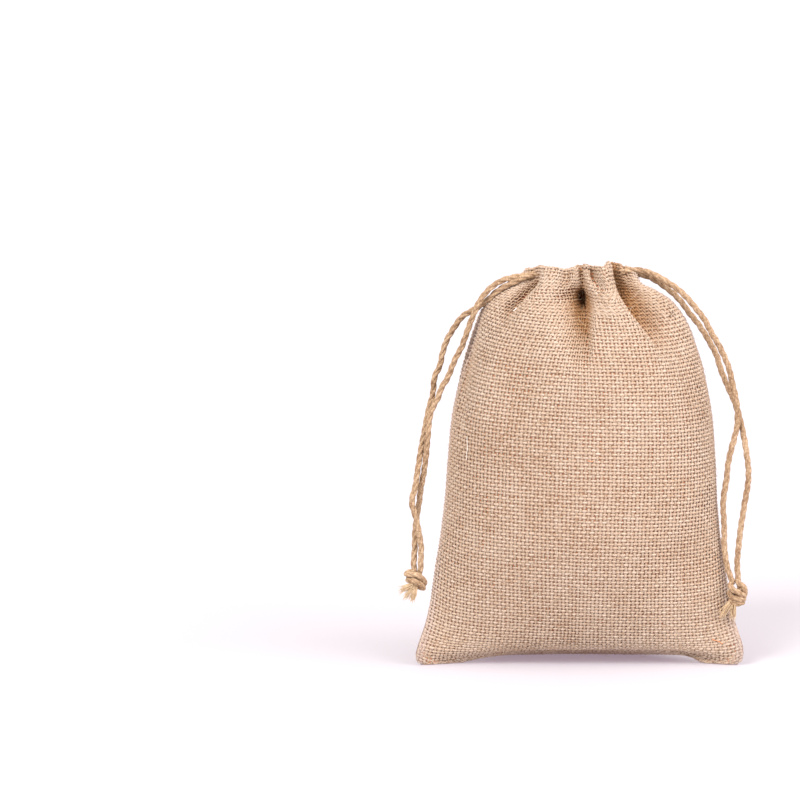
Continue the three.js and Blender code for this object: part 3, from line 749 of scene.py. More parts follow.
def row_value(column, up):
    """A smooth curve through one column of the rows."""
    x = rows["up"]
    y = rows[column]
    slope = np.empty_like(y)
    slope[1:-1] = (y[2:] - y[:-2]) / (x[2:] - x[:-2])
    slope[0] = (y[1] - y[0]) / (x[1] - x[0])
    slope[-1] = (y[-1] - y[-2]) / (x[-1] - x[-2])
    i = int(np.clip(np.searchsorted(x, up) - 1, 0, len(x) - 2))
    gap = x[i + 1] - x[i]
    s = np.clip((up - x[i]) / gap, 0, 1)
    return (
        (2 * s**3 - 3 * s**2 + 1) * y[i]
        + (s**3 - 2 * s**2 + s) * slope[i] * gap
        + (3 * s**2 - 2 * s**3) * y[i + 1]
        + (s**3 - s**2) * slope[i + 1] * gap
    )


print("Half width at mid height:", round(float(row_value("half", BAG_HEIGHT / 2)), 1), "mm")

# %% [markdown]
# Adding up folds
#
# Several folds may cross at a place, so their depths are added up. Each is a bell curve across and
# fades along its height. Its width is measured along the row in millimetres, not in degrees, because
# a fold of real cloth keeps its width where the bag gets narrower.

# %% How deep the folds are at a place


def fold_fade(fold, up):
    if up > fold["peak"]:
        return 1 - smoothstep(fold["peak"], fold["top"], up)
    return smoothstep(fold["end"], fold["peak"], up)


def fold_middle(fold, up):
    share = np.clip((fold["peak"] - up) / (fold["peak"] - fold["end"]), 0, 1)
    return fold["at"] + (fold["foot"] - fold["at"]) * share


def bell(degrees, middle, left, right, half, depth):
    """A hump along a row, 1 at its middle, that falls off to its left and right in millimetres."""
    angle = math.radians(middle)
    radius = math.hypot(half * math.cos(angle), depth * math.sin(angle))
    away = np.radians(degrees - middle) * radius
    return np.exp(-((away / np.where(away < 0, left, right)) ** 2))


def fold_depth(panel, degrees, up, half, depth):
    total = np.zeros_like(degrees)
    for fold in folds:
        fade = fold_fade(fold, up)
        if fold["panel"] == panel and fade > 0:
            middle = fold_middle(fold, up)
            across = bell(degrees, middle, fold["left"], fold["right"], half, depth)
            total += fold["deep"] * fade * across
    return total


print("Folds fade in and out along the height")

# %% [markdown]
# A row of points
#
# Seen from above, a row is two arcs that meet at the seams. The lower corners hang down as small
# ears, since nothing fills them. The folds push the row in, square to the arc, and near the top edge
# the waves of the mouth lift it.

# %% Points of one row of cloth


def top_edge_lift(panel, degrees, up):
    fade = smoothstep(BAG_HEIGHT - TOP_EDGE_DEPTH, BAG_HEIGHT, up)
    if panel == "back":
        return np.full_like(degrees, TOP_EDGE[0][1] * fade)
    lift = np.zeros_like(degrees)
    for (low, low_lift), (high, high_lift) in zip(TOP_EDGE, TOP_EDGE[1:]):
        here = (degrees >= low) & (degrees <= high)
        lift[here] = (low_lift + (high_lift - low_lift) * smoothstep(low, high, degrees))[here]
    return lift * fade


def row_points(panel, up, degrees):
    """Points of the outside of one row, at degrees from the middle of the panel to its seams."""
    half, seam_y, seam_z = (row_value(c, up) for c in ("half", "seam_y", "seam_z"))
    middle_y, middle_z = row_value(panel + "_y", up), row_value(panel + "_z", up)
    across = np.sin(np.radians(degrees))
    bulge = np.sqrt(np.maximum(1 - across**2, 0)) ** row_value("edge", up)
    reach = np.abs(across)
    ear_width = np.where(reach > EAR_PLACE, EAR_OUTER, np.where(across < 0, EAR_LEFT, EAR_RIGHT))
    ear_hump = np.exp(-(((reach - EAR_PLACE) / ear_width) ** 2))
    ear = EAR_DROP * (1 - smoothstep(0, EAR_END, up)) * ear_hump
    x = row_value("shift", up) + half * across
    y = seam_y + (middle_y - seam_y) * bulge
    z = np.maximum(middle_z + (seam_z - middle_z) * reach ** row_value(panel + "_rise", up) - ear, 0)
    depth = abs(middle_y - seam_y)
    sign = -1 if panel == "front" else 1
    out_x = depth * across
    out_y = sign * half * np.cos(np.radians(degrees))
    length = np.hypot(out_x, out_y)
    fold = fold_depth(panel, degrees, up, half, depth)
    lift = top_edge_lift(panel, degrees, up)
    return np.stack([x - fold * out_x / length, y - fold * out_y / length, z + lift], axis=-1)


MID_HEIGHT = BAG_HEIGHT // 2
middle_point = row_points("front", MID_HEIGHT, np.array([0.0]))[0]
print("Middle of the front at mid height:", middle_point.round(1))

# %% [markdown]
# The sheet
#
# The strip is one grid of points: across its width, and along it from the hem inside the front, down
# the front, under the base, up the back and over into the hem there. Gathered cloth is folded deeper
# than it looks, so more of its width lies in the folds than on the crests between them.

# %% How the cloth's width is shared out along a row
BETWEEN_SEAMS = 0.985


def cloth_shares(panel, up, degrees, points):
    """How much of the cloth's width has been passed at each point of a row, from 0 to 1."""
    steps = np.linalg.norm(np.diff(points, axis=0), axis=1)
    hidden = max(BAG_WIDTH * BETWEEN_SEAMS - steps.sum(), 0)
    places = (degrees[1:] + degrees[:-1]) / 2
    half = row_value("half", up)
    depth = abs(row_value(panel + "_y", up) - row_value("seam_y", up))
    tracks = []
    for gather in GATHERS[panel]:
        heights, *columns = zip(*gather)
        at, left, right, share = (np.interp(up, heights, column) for column in columns)
        curve = bell(places, at, left, right, half, depth) * steps
        tracks.append(share * curve / curve.sum())
    held = sum(tracks)
    held += (1 - held.sum()) * steps / steps.sum()
    passed = np.cumsum(steps + hidden * held)
    return np.concatenate([[0], passed / passed[-1]])


print("Cloth between the seams:", BAG_WIDTH * BETWEEN_SEAMS, "mm")

# %% [markdown]
# Marks for fold and slipped weave
#
# Every point of the grid also carries two marks for the materials and the yarns: how deep in a fold it
# lies, and how far the weave has slipped apart there. Loose weave is common near a drawn mouth. At such
# a spot the yarns are thinner, and the sheet under them is painted a darker shade for the dark inside
# that shows between them. The fold mark gives a painted golden shade in the folds.

# %% The outside of the cloth, with its marks
ACROSS = 240
DEGREES_ROUND = np.linspace(-90, 90, 721)
DEEPEST_FOLD = 9
OPEN_SPOT_COLUMNS = ("up", "at", "reach_up", "reach_round")
OPEN_SPOTS = [
    (190, -46, 4, 5), (184.5, -50, 4.5, 5), (178.5, -54, 4.5, 5), (188, -10, 5, 9), (193, 20, 3, 3),
    (192, 54, 5, 9),
]
open_spots = [dict(zip(OPEN_SPOT_COLUMNS, spot)) for spot in OPEN_SPOTS]


def openness(panel, up, degrees):
    """Where the weave has slipped apart, from 0 to 1."""
    total = np.zeros_like(degrees)
    if panel == "front":
        for spot in open_spots:
            away_round = (degrees - spot["at"]) / spot["reach_round"]
            away_up = (up - spot["up"]) / spot["reach_up"]
            total += np.exp(-(away_up**2) - away_round**2)
    return np.clip(total, 0, 1)


def outside_row(panel, up):
    """Points along one row, evenly through the cloth's width, each with its two marks."""
    points = row_points(panel, up, DEGREES_ROUND)
    shares = cloth_shares(panel, up, DEGREES_ROUND, points)
    depth = abs(row_value(panel + "_y", up) - row_value("seam_y", up))
    fold = fold_depth(panel, DEGREES_ROUND, up, row_value("half", up), depth)
    hollow = np.clip(fold / DEEPEST_FOLD, 0, 1) ** 1.4
    columns = [*points.T, hollow, openness(panel, up, DEGREES_ROUND)]
    wanted = np.linspace(0, 1, ACROSS + 1)
    return np.stack([np.interp(wanted, shares / shares[-1], column) for column in columns], axis=-1)


heights = np.arange(0, BAG_HEIGHT + 1)
outside = {panel: np.array([outside_row(panel, up) for up in heights]) for panel in ("front", "back")}
outer = np.concatenate([outside["front"][::-1], outside["back"][1:]])
hem_padding = ((HEM_TURNED_IN, HEM_TURNED_IN), (0, 0), (0, 0))
marks = np.pad(outer[..., 3:], hem_padding, mode="edge")
outer = outer[..., :3]
print("Outside of the cloth:", outer.shape[0], "rows of", outer.shape[1], "points")

# %% [markdown]
# Thickness
#
# The yarns and the shade sheet lie below the outside, so the grid is moved in along its normals. Where
# the front and the back would pass through each other, in a deep fold of the neck, both stop half way.

# %% Moving the sheet into its thickness
LAYER_GAP = 1.5
YARN_DEPTH = 0.68
ABOVE_FLOOR = 0.7
BASE_ROW = BAG_HEIGHT


def grid_normals(points):
    """Unit normals of a grid."""
    along = np.gradient(points, axis=0)
    across = np.gradient(points, axis=1)
    normal = np.cross(across, along)
    normal[:, 0] = normal[:, 1]
    normal[:, -1] = normal[:, -2]
    return normal / np.maximum(np.linalg.norm(normal, axis=-1, keepdims=True), 1e-9)


outer_normals = grid_normals(outer)
if outer_normals[BASE_ROW - MID_HEIGHT, ACROSS // 2, 1] > 0:
    outer_normals = -outer_normals
front_normal = outer_normals[BASE_ROW - MID_HEIGHT, ACROSS // 2]
print("Normal in the middle of the front:", front_normal.round(2))


def moved_in(depth):
    """The outside moved in by a depth. Where front and back would cross, they meet half way."""
    points = outer - outer_normals * depth
    front = points[:BASE_ROW][::-1]
    rear = points[BASE_ROW + 1:]
    between = (front[..., 1] + rear[..., 1]) / 2
    crossed = front[..., 1] > rear[..., 1]
    front[..., 1] = np.where(crossed, between, front[..., 1])
    rear[..., 1] = np.where(crossed, between, rear[..., 1])
    points[..., 2] = np.maximum(points[..., 2], ABOVE_FLOOR)
    return points


# %% [markdown]
# Hems
#
# At each end the strip turns over in a round crown and runs down again inside the bag. The hem is the
# tunnel that the cords run in, and its second layer is what the mouth shows from above.

# %% The strip with both hems
HEM_TURN_ROWS = 3
SHADE_SHEET_BELOW_YARNS = 0.3


def strip_points(depth):
    """The whole strip at a depth from the outside, with both hems turned in."""
    near = moved_in(depth)
    far = moved_in(2 * YARN_DEPTH + LAYER_GAP - depth)
    pieces = []
    for end, inward in ((0, 1), (len(near) - 1, -1)):
        crown = []
        for k in range(1, HEM_TURN_ROWS + 1):
            share = k / HEM_TURN_ROWS
            lift = math.sin(math.pi * share) * (LAYER_GAP / 2)
            crown.append(near[end] * (1 - share) + far[end] * share + [0, 0, lift])
        inside = [far[end + inward * (k + 1)] for k in range(HEM_TURNED_IN - HEM_TURN_ROWS)]
        pieces.append(np.array(crown + inside))
    return np.concatenate([pieces[0][::-1], near, pieces[1]])


shade_sheet_points = strip_points(YARN_DEPTH + SHADE_SHEET_BELOW_YARNS)
yarn_points = strip_points(YARN_DEPTH)
print("Strip:", yarn_points.shape[0] - 1, "steps long,", yarn_points.shape[1] - 1, "steps wide")

# %% [markdown]
# The strip as a mesh
#
# The grid becomes a mesh whose texture coordinates are the cloth's own flat measures: across from 0
# to 1, along from 0 to 1. Every yarn finds its place by them. A third value, squeeze, says how closely
# the cloth is crowded, because yarns that lie side by side in a gather can't be as wide as usual.

# %% Mesh of a grid, with the flat cloth as its texture coordinates


def grid_mesh(name, points):
    rows_count, columns = points.shape[:2]
    corner = np.arange(rows_count * columns).reshape(rows_count, columns)
    quads = np.stack([corner[:-1, :-1], corner[:-1, 1:], corner[1:, 1:], corner[1:, :-1]], axis=-1)
    quads = quads.reshape(-1, 4)
    mesh = bpy.data.meshes.new(name)
    mesh.from_pydata((points.reshape(-1, 3) * MM).tolist(), [], quads.tolist())
    flat = np.stack(np.meshgrid(np.linspace(0, 1, columns), np.linspace(0, 1, rows_count)), axis=-1)
    layer = mesh.uv_layers.new(name="cloth")
    layer.data.foreach_set("uv", flat.reshape(-1, 2)[quads.ravel()].ravel())
    mesh.polygons.foreach_set("use_smooth", [True] * len(quads))
    middle = mesh.polygons[(rows_count // 2 - MID_HEIGHT) * (columns - 1) + columns // 2]
    if middle.normal.y > 0:
        mesh.flip_normals()
    made = bpy.data.objects.new(name, mesh)
    bpy.context.scene.collection.objects.link(made)
    print(f"{name}: {len(quads) * 2} triangles")
    return made


def mark_points(sheet, name, values):
    layer = sheet.data.attributes.new(name, "FLOAT", "POINT")
    layer.data.foreach_set("value", values.ravel().astype(np.float32))


weaving_sheet = grid_mesh("weaving_sheet", yarn_points)
shade_sheet = grid_mesh("cloth_shade_sheet", shade_sheet_points[::2, ::2])
squeeze = np.linalg.norm(np.diff(yarn_points, axis=1), axis=-1)
squeeze = np.concatenate([squeeze, squeeze[:, -1:]], axis=1) * ACROSS / BAG_WIDTH
mark_points(weaving_sheet, "squeeze", squeeze)
for k, name in enumerate(("hollow", "open")):
    mark_points(weaving_sheet, name, marks[..., k])
    mark_points(shade_sheet, name, marks[::2, ::2, k])

# %% [markdown]
# The shade sheet under the yarns
#
# Between the yarns of open jute there are small holes, and through them shows the brown shade of the
# inside of the bag. A thin sheet just under the yarns has that brown shade painted on it. Its lines
# repeat the weave, so the inside of the bag, which has no yarns of its own, looks woven too. Also
# painted on it are a darker shade where the weave has slipped apart, a golden shade in the folds, and a
# paler rim light along the side seams.

# %% Material of the shade sheet
WARPS = 81
WEFT_PITCH = BAG_HEIGHT / 116
STRIP_LENGTH = 2 * (BAG_HEIGHT + HEM_TURNED_IN)
# Painted shade: the sheet is darker where the weave has slipped apart.
OPEN_WEAVE_SHADE = (0.3, 0.2, 0.2)
SHADE_SHEET_RIM_STARTS, SHADE_SHEET_RIM_FULL = 0.478, 0.49
shade_sheet_material = bpy.data.materials.new("shaded_jute")
shade_sheet_material.use_nodes = True


def build_shade_sheet(material):
    graph = Graph(material.node_tree)
    across, along, _ = graph.parts(graph.node("ShaderNodeUVMap", {"uv_map": "cloth"}))
    warp = graph.maths("COSINE", across * (WARPS * math.tau))
    weft = graph.maths("COSINE", along * (STRIP_LENGTH / WEFT_PITCH * math.tau))
    thread = graph.maths("MAXIMUM", warp, weft)
    place = graph.node("ShaderNodeTexCoord", output="Object")
    tone = graph.noise(place, 300.0, 3.0) * 0.7 + thread * 0.15 + 0.1
    # Painted shade: the red-brown of the bag's shadowed inside, seen through the holes.
    stops = [(0.2, (0.48, 0.17, 0.08)), (0.75, (0.74, 0.33, 0.17))]
    colour = graph.node("ShaderNodeValToRGB", {"stops": stops}, {0: tone})
    # Painted shade: darker where the weave has slipped apart.
    colour = graph.tinted(graph.painted("open"), colour, OPEN_WEAVE_SHADE)
    # Painted golden shade in the folds.
    colour = graph.tinted(graph.painted("hollow"), colour, PAINTED_FOLD_SHADE)
    # Painted rim light: paler along the side seams, as on the yarns.
    edge = graph.maths("ABSOLUTE", across - 0.5)
    strip = graph.rising(edge, SHADE_SHEET_RIM_STARTS, SHADE_SHEET_RIM_FULL)
    colour = graph.mix(strip, colour, (*SEAM_RIM_LIGHT, 1))
    dull_cloth(graph, colour, thread, strength=0.8, depth=0.0005, roughness=0.95, gloss=0.1)


build_shade_sheet(shade_sheet_material)
shade_sheet.data.materials.append(shade_sheet_material)
print("Ground of the cloth in", shade_sheet_material.name)

# %% [markdown]
# Weaving
#
# In plain weave each yarn passes over one neighbour and under the next. One tree makes either set of
# yarns: a row of straight lines, one for each yarn, whose points look up their place on the sheet by
# its flat measures and are pushed out or in by the weave. Two points a crossing give each float a
# flat top. Jute is uneven, so yarns differ in thickness, wander a little and thicken here and there.

# %% The inputs of the weaving tree
weave_growth, weave_in = new_growth(
    "woven_yarns",
    {
        "Yarns": "count",
        "First Yarn": "count",
        "Crossings": "count",
        "First Crossing": "count",
        "Run Across": "switch",
        "Wave": "number",
        "Half Width": "number",
        "Half Thickness": "number",
        "Seed": "number",
        "Material": "material",
    },
)
WEFTS = round(STRIP_LENGTH / WEFT_PITCH)
print(WARPS, "warps and", WEFTS, "wefts")

# %% [markdown]
# Straight yarns first
#
# The tree starts with straight lines, one for each yarn, because there every point can work out from
# its own place which yarn it belongs to and which crossing it is at. Odd and even crossings then tell
# whether the yarn passes over or under.

# %% Straight yarns, and the crossing that each of their points belongs to
FLOAT_HALF_LENGTH = 0.26


def straight_yarns(graph, given):
    """Lines side by side. Returns them, and each point's yarn, place along it and side."""
    points_a_yarn = given["Crossings"] * 2
    starts = graph.vector(graph.node("GeometryNodeInputIndex"))
    yarns = graph.node("GeometryNodePoints", None, {"Count": given["Yarns"], "Position": starts})
    line = graph.node("GeometryNodeCurvePrimitiveLine", None, {"Start": (0, 0, 0), "End": (0, 1, 0)})
    fine = graph.node("GeometryNodeResampleCurve", None, {0: line, "Count": points_a_yarn})
    laid = graph.node("GeometryNodeInstanceOnPoints", None, {"Points": yarns, "Instance": fine})
    lines = graph.node("GeometryNodeRealizeInstances", None, {0: laid})
    place_x, place_y, _ = graph.parts(graph.node("GeometryNodeInputPosition"))
    yarn = graph.maths("ROUND", place_x) + given["First Yarn"]
    step = graph.maths("ROUND", place_y * (points_a_yarn - 1))
    crossing = graph.maths("FLOOR", step / 2) + given["First Crossing"]
    late = (step % 2) - 0.5
    along = crossing + late * (2 * FLOAT_HALF_LENGTH)
    over = 1 - ((yarn + crossing) % 2) * 2
    return lines, yarn, along, over * (1 - 2 * given["Run Across"])


print("Each float is", 2 * FLOAT_HALF_LENGTH, "of a crossing long")

# %% [markdown]
# No yarn is quite straight
#
# In cloth as coarse as this each yarn wanders between its neighbours, and the wefts are not quite
# square to the warps. Both are done on the flat cloth, before it is bent, by smooth noise that knows
# only the yarn's number and how far along it is.

# %% Where a point of a yarn lies on the flat cloth
SKEW = 3.4
STRAIGHT_NEAR_HEM = 30.0
WANDER = 0.7
EDGE_MARGIN = 0.0005


def chosen(graph, switch, unless, when):
    return graph.node("GeometryNodeSwitch", {"input_type": "FLOAT"}, {0: switch, 1: unless, 2: when})


def flat_place(graph, given, yarn, along):
    """Yarns wander, and wefts drop from left to right by SKEW pitches, except near the hems."""
    where = graph.vector(yarn * 3.17, along * 0.11, given["Seed"])
    own = yarn + 0.5 + (graph.noise(where, 1.0, 2.0) - 0.5) * WANDER
    other = along + 0.5
    warp_number = chosen(graph, given["Run Across"], own, other)
    weft_number = chosen(graph, given["Run Across"], other, own)
    to_hem = graph.maths("MINIMUM", weft_number, WEFTS - weft_number) / STRAIGHT_NEAR_HEM
    skewed = graph.clamped(to_hem, 0.0, 1.0) * ((warp_number / WARPS - 0.5) * SKEW)
    return graph.vector(
        graph.clamped(warp_number / WARPS, EDGE_MARGIN, 1 - EDGE_MARGIN),
        graph.clamped((weft_number + skewed) / WEFTS, EDGE_MARGIN, 1 - EDGE_MARGIN),
    )


print("Wefts drop by", SKEW, "pitches from seam to seam")

# %% [markdown]
# Onto the bent cloth
#
# Sampling the sheet by its texture coordinates turns a place of the flat cloth into a point, a normal
# and the marks of the bent sheet. The point is moved out or in along the normal by turns. At last a
# flattened ring is swept along each yarn, as wide as there is room for it.

# %% The tree that weaves
THICK_AND_THIN = 1.4
LEAST_ROOM = 0.35
THINNER_WHERE_OPEN = 0.48


def on_sheet(graph, given, flat, value, kind="FLOAT_VECTOR"):
    """What a field of the sheet is at a place of the flat cloth."""
    sockets = {0: given["Geometry"], "Value": value, "UV Map": named(graph, "cloth"), "Sample UV": flat}
    return graph.node("GeometryNodeSampleUVSurface", {"data_type": kind}, sockets)


def yarn_thickness(graph, given, flat, yarn, along):
    """Jute is uneven. A yarn also has less room in a gather, and is stretched thin where it slipped."""
    where = graph.vector(yarn * 7.31, along * 0.19, given["Seed"] + 40.0)
    thick = 1 + (graph.noise(where, 1.0, 3.0, 0.6) - 0.5) * THICK_AND_THIN
    squeezed = on_sheet(graph, given, flat, named(graph, "squeeze", "FLOAT"), "FLOAT")
    slipped = on_sheet(graph, given, flat, named(graph, "open", "FLOAT"), "FLOAT")
    room = graph.clamped(chosen(graph, given["Run Across"], squeezed, 1.0), LEAST_ROOM, 1.0)
    return thick * (room * (1 - slipped * THINNER_WHERE_OPEN))


def build_weave(graph, given):
    lines, yarn, along, over = straight_yarns(graph, given)
    flat = flat_place(graph, given, yarn, along)
    outward = on_sheet(graph, given, flat, graph.node("GeometryNodeInputNormal"))
    middle = on_sheet(graph, given, flat, graph.node("GeometryNodeInputPosition"))
    place = graph.vector_maths("ADD", middle, graph.scaled(outward, over * given["Wave"]))
    hollow = on_sheet(graph, given, flat, named(graph, "hollow", "FLOAT"), "FLOAT")
    lines = stored(graph, lines, "along", graph.vector(along * 1.7, yarn, given["Seed"]))
    lines = stored(graph, lines, "out", outward)
    lines = stored(graph, lines, "thick", yarn_thickness(graph, given, flat, yarn, along), "FLOAT")
    lines = stored(graph, lines, "flat", flat)
    lines = stored(graph, lines, "hollow", hollow, "FLOAT")
    lines = moved_to(graph, lines, place)
    free = {0: lines, "Normal": named(graph, "out")}
    lines = graph.node("GeometryNodeSetCurveNormal", {"mode": "FREE"}, free)
    squash = graph.vector(given["Half Thickness"], given["Half Width"], 1.0)
    round_place = graph.node("GeometryNodeInputPosition")
    section = moved_to(graph, ring(graph, 4, 1.0), graph.vector_maths("MULTIPLY", round_place, squash))
    tubes = swept(graph, lines, section, named(graph, "thick", "FLOAT"))
    end_growth(graph, with_fibre(graph, tubes, 0.9, 0.5), given["Material"])


build_weave(weave_growth, weave_in)
print("Tree", weave_growth.tree.name, "has", len(weave_growth.tree.nodes), "nodes")

# %% [markdown]
# Front and back
#
# The strip is woven in four pieces: warps and wefts, each for the front and for the back, so that no
# mesh gets too large. The two warp pieces meet under the base, where the same yarns run on.

# %% Weave the front and the back
HALF_WEFTS = WEFTS // 2


def woven(name, yarns, first_yarn, crossings, first_crossing, across, half_width, seed):
    values = {
        "Yarns": yarns,
        "First Yarn": first_yarn,
        "Crossings": crossings,
        "First Crossing": first_crossing,
        "Run Across": across,
        "Wave": 0.27 * MM,
        "Half Width": half_width * MM,
        "Half Thickness": 0.4 * MM,
        "Seed": seed,
        "Material": WEFT_JUTE if across else WARP_JUTE,
    }
    return grown(weaving_sheet, weave_growth, values, name)


yarn_sets = [
    woven("warp_yarns_front", WARPS, 0, HALF_WEFTS, 0, False, 0.67, 1.0),
    woven("warp_yarns_back", WARPS, 0, WEFTS - HALF_WEFTS, HALF_WEFTS, False, 0.67, 1.0),
    woven("weft_yarns_front", HALF_WEFTS, 0, WARPS, 0, True, 0.61, 5.0),
    woven("weft_yarns_back", WEFTS - HALF_WEFTS, HALF_WEFTS, WARPS, 0, True, 0.61, 5.0),
]
discard(weaving_sheet)
print(len(yarn_sets), "sets of yarns")

# %% [markdown]
# The knots
#
# Where two cord ends are tied together, one of them winds round the other. Every turn that can be seen
# is a stretch of one line: the wrap starts where the first cord ends, crosses the front, goes round
# the back and comes forward again lower down. The second cord goes over the top in a loop, and a core
# fills the middle, so that no light comes through. All are laid up with the same tree as the cords.
# Each tuft of loose fibre has a line and says how far it spreads at its end.

# %% Knot turns, in millimetres from the middle of the knot
KNOTS = {
    "right_knot": {
        "middle": (70, -14.3, 34.5),
        "wrap": [
            (-1.9, -0.4, 4.4), (-3.3, -1.3, 3.1), (-2.5, -2.8, 1.8), (-0.4, -3.5, 0.5),
            (1.8, -3, -0.9), (3.2, -1.2, -1.7), (3, 1.2, -1.6), (0.6, 2.6, -0.8),
            (-2.2, 1.8, -0.4), (-3.3, -0.4, -0.9), (-2, -2.5, -2.1), (0.2, -3.1, -2.8),
            (2.2, -2.2, -3.1), (3, 0, -3.1), (1.2, 2.2, -3.2), (-1.4, 1.9, -3.2),
            (-2.7, -0.3, -3.7), (-1.3, -2.1, -4.7), (1, -2.2, -5.1), (2.5, -0.6, -4.6),
            (1.6, 1.2, -3.8), (0, 0.4, -3.4),
        ],
        "loop": [
            (0.5, 0.7, 5.2), (0.5, -0.5, 4.2), (1.7, -1.2, 3.3), (2.9, -1.1, 1.8), (3.5, -0.6, 0),
            (3.4, 0.5, -1.7), (2.4, 1.2, -2.6), (0.4, 1.4, -2.4),
        ],
        "core": [(-0.3, 0.4, 5.3), (0.6, 0.2, 3.6), (1.4, 0.2, 1.7), (1, 0.2, -0.6), (0, 0, -3.6)],
        "tufts": [
            ([(-1.6, -1, -3.6), (-3.4, -1.8, -5.6), (-5.2, -2.2, -8), (-7, -2.4, -11)], 1.6),
            ([(-0.9, -1, -3.8), (-1.6, -1.7, -6.2), (-1.9, -2, -9), (-2.2, -2.1, -12.2)], 1.8),
        ],
    },
    "left_knot": {
        "middle": (-74.1, -12.8, 38.2),
        "wrap": [
            (-0.8, 0.6, 4.8), (-3, 0.4, 4.6), (-4.1, -0.8, 3.9), (-2.4, -2.2, 4.2),
            (0.6, -2.6, 3.9), (2.8, -2.1, 2.4), (3.8, -0.6, 0.3), (3.1, 1.4, -0.8),
            (0.6, 2.2, 0.2), (-2.4, 1.4, 1.4), (-3.5, -0.6, 1.5), (-2, -2.6, 1.6),
            (0.6, -3.2, 0.8), (2.5, -2.4, -0.9), (3.3, -0.6, -2.3), (2, 1.2, -2.2), (0, 0.6, -1),
        ],
        "loop": [(2, -0.2, 5.2), (1.2, 1.2, 3.6), (0, 1.2, 1.4), (0, 0, -1.5)],
        "core": [(0.4, 0.2, 3), (0.4, 0.2, 1.4), (0.5, 0.2, 0), (0.6, 0.2, -1.4)],
        "tufts": [
            ([(-0.6, -1.4, 0), (-2.4, -2.9, -0.9), (-4.6, -3.4, -1.9), (-6.9, -3.6, -3.2)], 1.7),
            ([(-0.4, -1.4, -0.6), (-1.6, -2.9, -2.4), (-3.2, -3.3, -4.4), (-4.8, -3.4, -6.6)], 1.3),
            ([(0.2, -1.2, -0.8), (-0.3, -2.6, -3), (-1, -3, -5.2), (-1.7, -3, -7.6)], 1.1),
        ],
    },
}

knot_pieces = {}
for k, (name, knot) in enumerate(KNOTS.items()):
    middle = np.array(knot["middle"])
    lines = [smooth_line(knot[part], 0.4) + middle for part in ("wrap", "loop", "core")]
    knot_pieces[name] = laid_up(name + "_turns", lines, 0.21 + 0.37 * k, {"Unevenness": 0.45})

# %% [markdown]
# Frayed ends
#
# Below the knots the cords are cut, and their plies have opened into loose fibre. A tuft is one line
# copied for each fibre. Every copy leaves the line sideways in its own direction, more and more
# towards its end, and stops at its own length.

# %% The tree that frays an end
tuft_growth, tuft_in = new_growth(
    "frayed_end",
    {
        "Fibres": "count",
        "Start Spread": "number",
        "End Spread": "number",
        "Fibre Radius": "number",
        "Seed": "number",
        "Material": "material",
    },
)


def build_tuft(graph, given):
    line = graph.node("GeometryNodeMeshToCurve", None, {0: given["Geometry"]})
    sockets = {0: line, "Amount": given["Fibres"]}
    copies = graph.node("GeometryNodeDuplicateElements", {"domain": "SPLINE"}, sockets)
    number = copies.other("Duplicate Index")
    along = graph.node("GeometryNodeSplineParameter")
    seed = graph.vector(number * 1.37, number * 3.71, given["Seed"])
    direction = centred(graph, luck_at(graph, seed, "Color"))
    bend_place = graph.vector_maths("ADD", seed, graph.vector(along * 1.6, given["Seed"]))
    spread = given["Start Spread"] + (given["End Spread"] - given["Start Spread"]) * along
    offset = graph.vector_maths(
        "ADD",
        graph.scaled(direction, spread * 2),
        graph.scaled(bend_at(graph, bend_place), given["End Spread"] * along * 1.6),
    )
    fibres = moved_by(graph, copies, offset)
    fibres = stored(graph, fibres, "along", graph.vector(along * 4.0, number * 0.61, given["Seed"]))
    own_end = 0.72 + luck_at(graph, graph.scaled(seed, 1.9)) * 0.28
    fibres = graph.node("GeometryNodeTrimCurve", {"mode": "FACTOR"}, {0: fibres, "End": own_end})
    taper = 1.15 - graph.node("GeometryNodeSplineParameter") * 0.7
    tubes = swept(graph, fibres, ring(graph, 4, given["Fibre Radius"]), taper)
    end_growth(graph, with_fibre(graph, tubes, 0.9, 0.5), given["Material"])


build_tuft(tuft_growth, tuft_in)
print("Tree", tuft_growth.tree.name, "has", len(tuft_growth.tree.nodes), "nodes")

# %% [markdown]
# Tufts at the knots
#
# Each cut end gets a seed of its own, so that no two tufts are alike. Sixty fibres look dense enough,
# because they are drawn thicker than the real ones, and their meshes stay small.

# %% Fray the ends
tufts = {}
for k, (name, knot) in enumerate(KNOTS.items()):
    tufts[name] = []
    for n, (line, spread) in enumerate(knot["tufts"]):
        line = smooth_line(line, 0.7) + np.array(knot["middle"])
        seed_object = line_object(f"{name}_end_{n}", [line])
        values = {
            "Fibres": 60,
            "Start Spread": 0.75 * MM,
            "End Spread": spread * MM,
            "Fibre Radius": 0.17 * MM,
            "Seed": 3.0 + 7 * k + n,
            "Material": TUFT_JUTE,
        }
        tufts[name].append(grown(seed_object, tuft_growth, values, f"{name}_tuft_{n}"))
        discard(seed_object)

# %% [markdown]
# Stray fibres
#
# Jute sheds. Short loose fibres lie on the cloth and stand off its outline, and they make it look
# rough and dry. Points are strewn over the sheet, and on each stands a short bent fibre that is laid
# down almost flat and turned its own way.

# %% The tree that strews fibres
fuzz_growth, fuzz_in = new_growth(
    "stray_fibres",
    {
        "Density": "number",
        "Length": "number",
        "Fibre Radius": "number",
        "Seed": "count",
        "Material": "material",
    },
)
LOWEST_FIBRE = 0.0002


def turned_by(graph, rotation, angles):
    by = graph.node("FunctionNodeEulerToRotation", None, {0: angles})
    local = {"rotation_space": "LOCAL"}
    return graph.node("FunctionNodeRotateRotation", local, {0: rotation, 1: by})


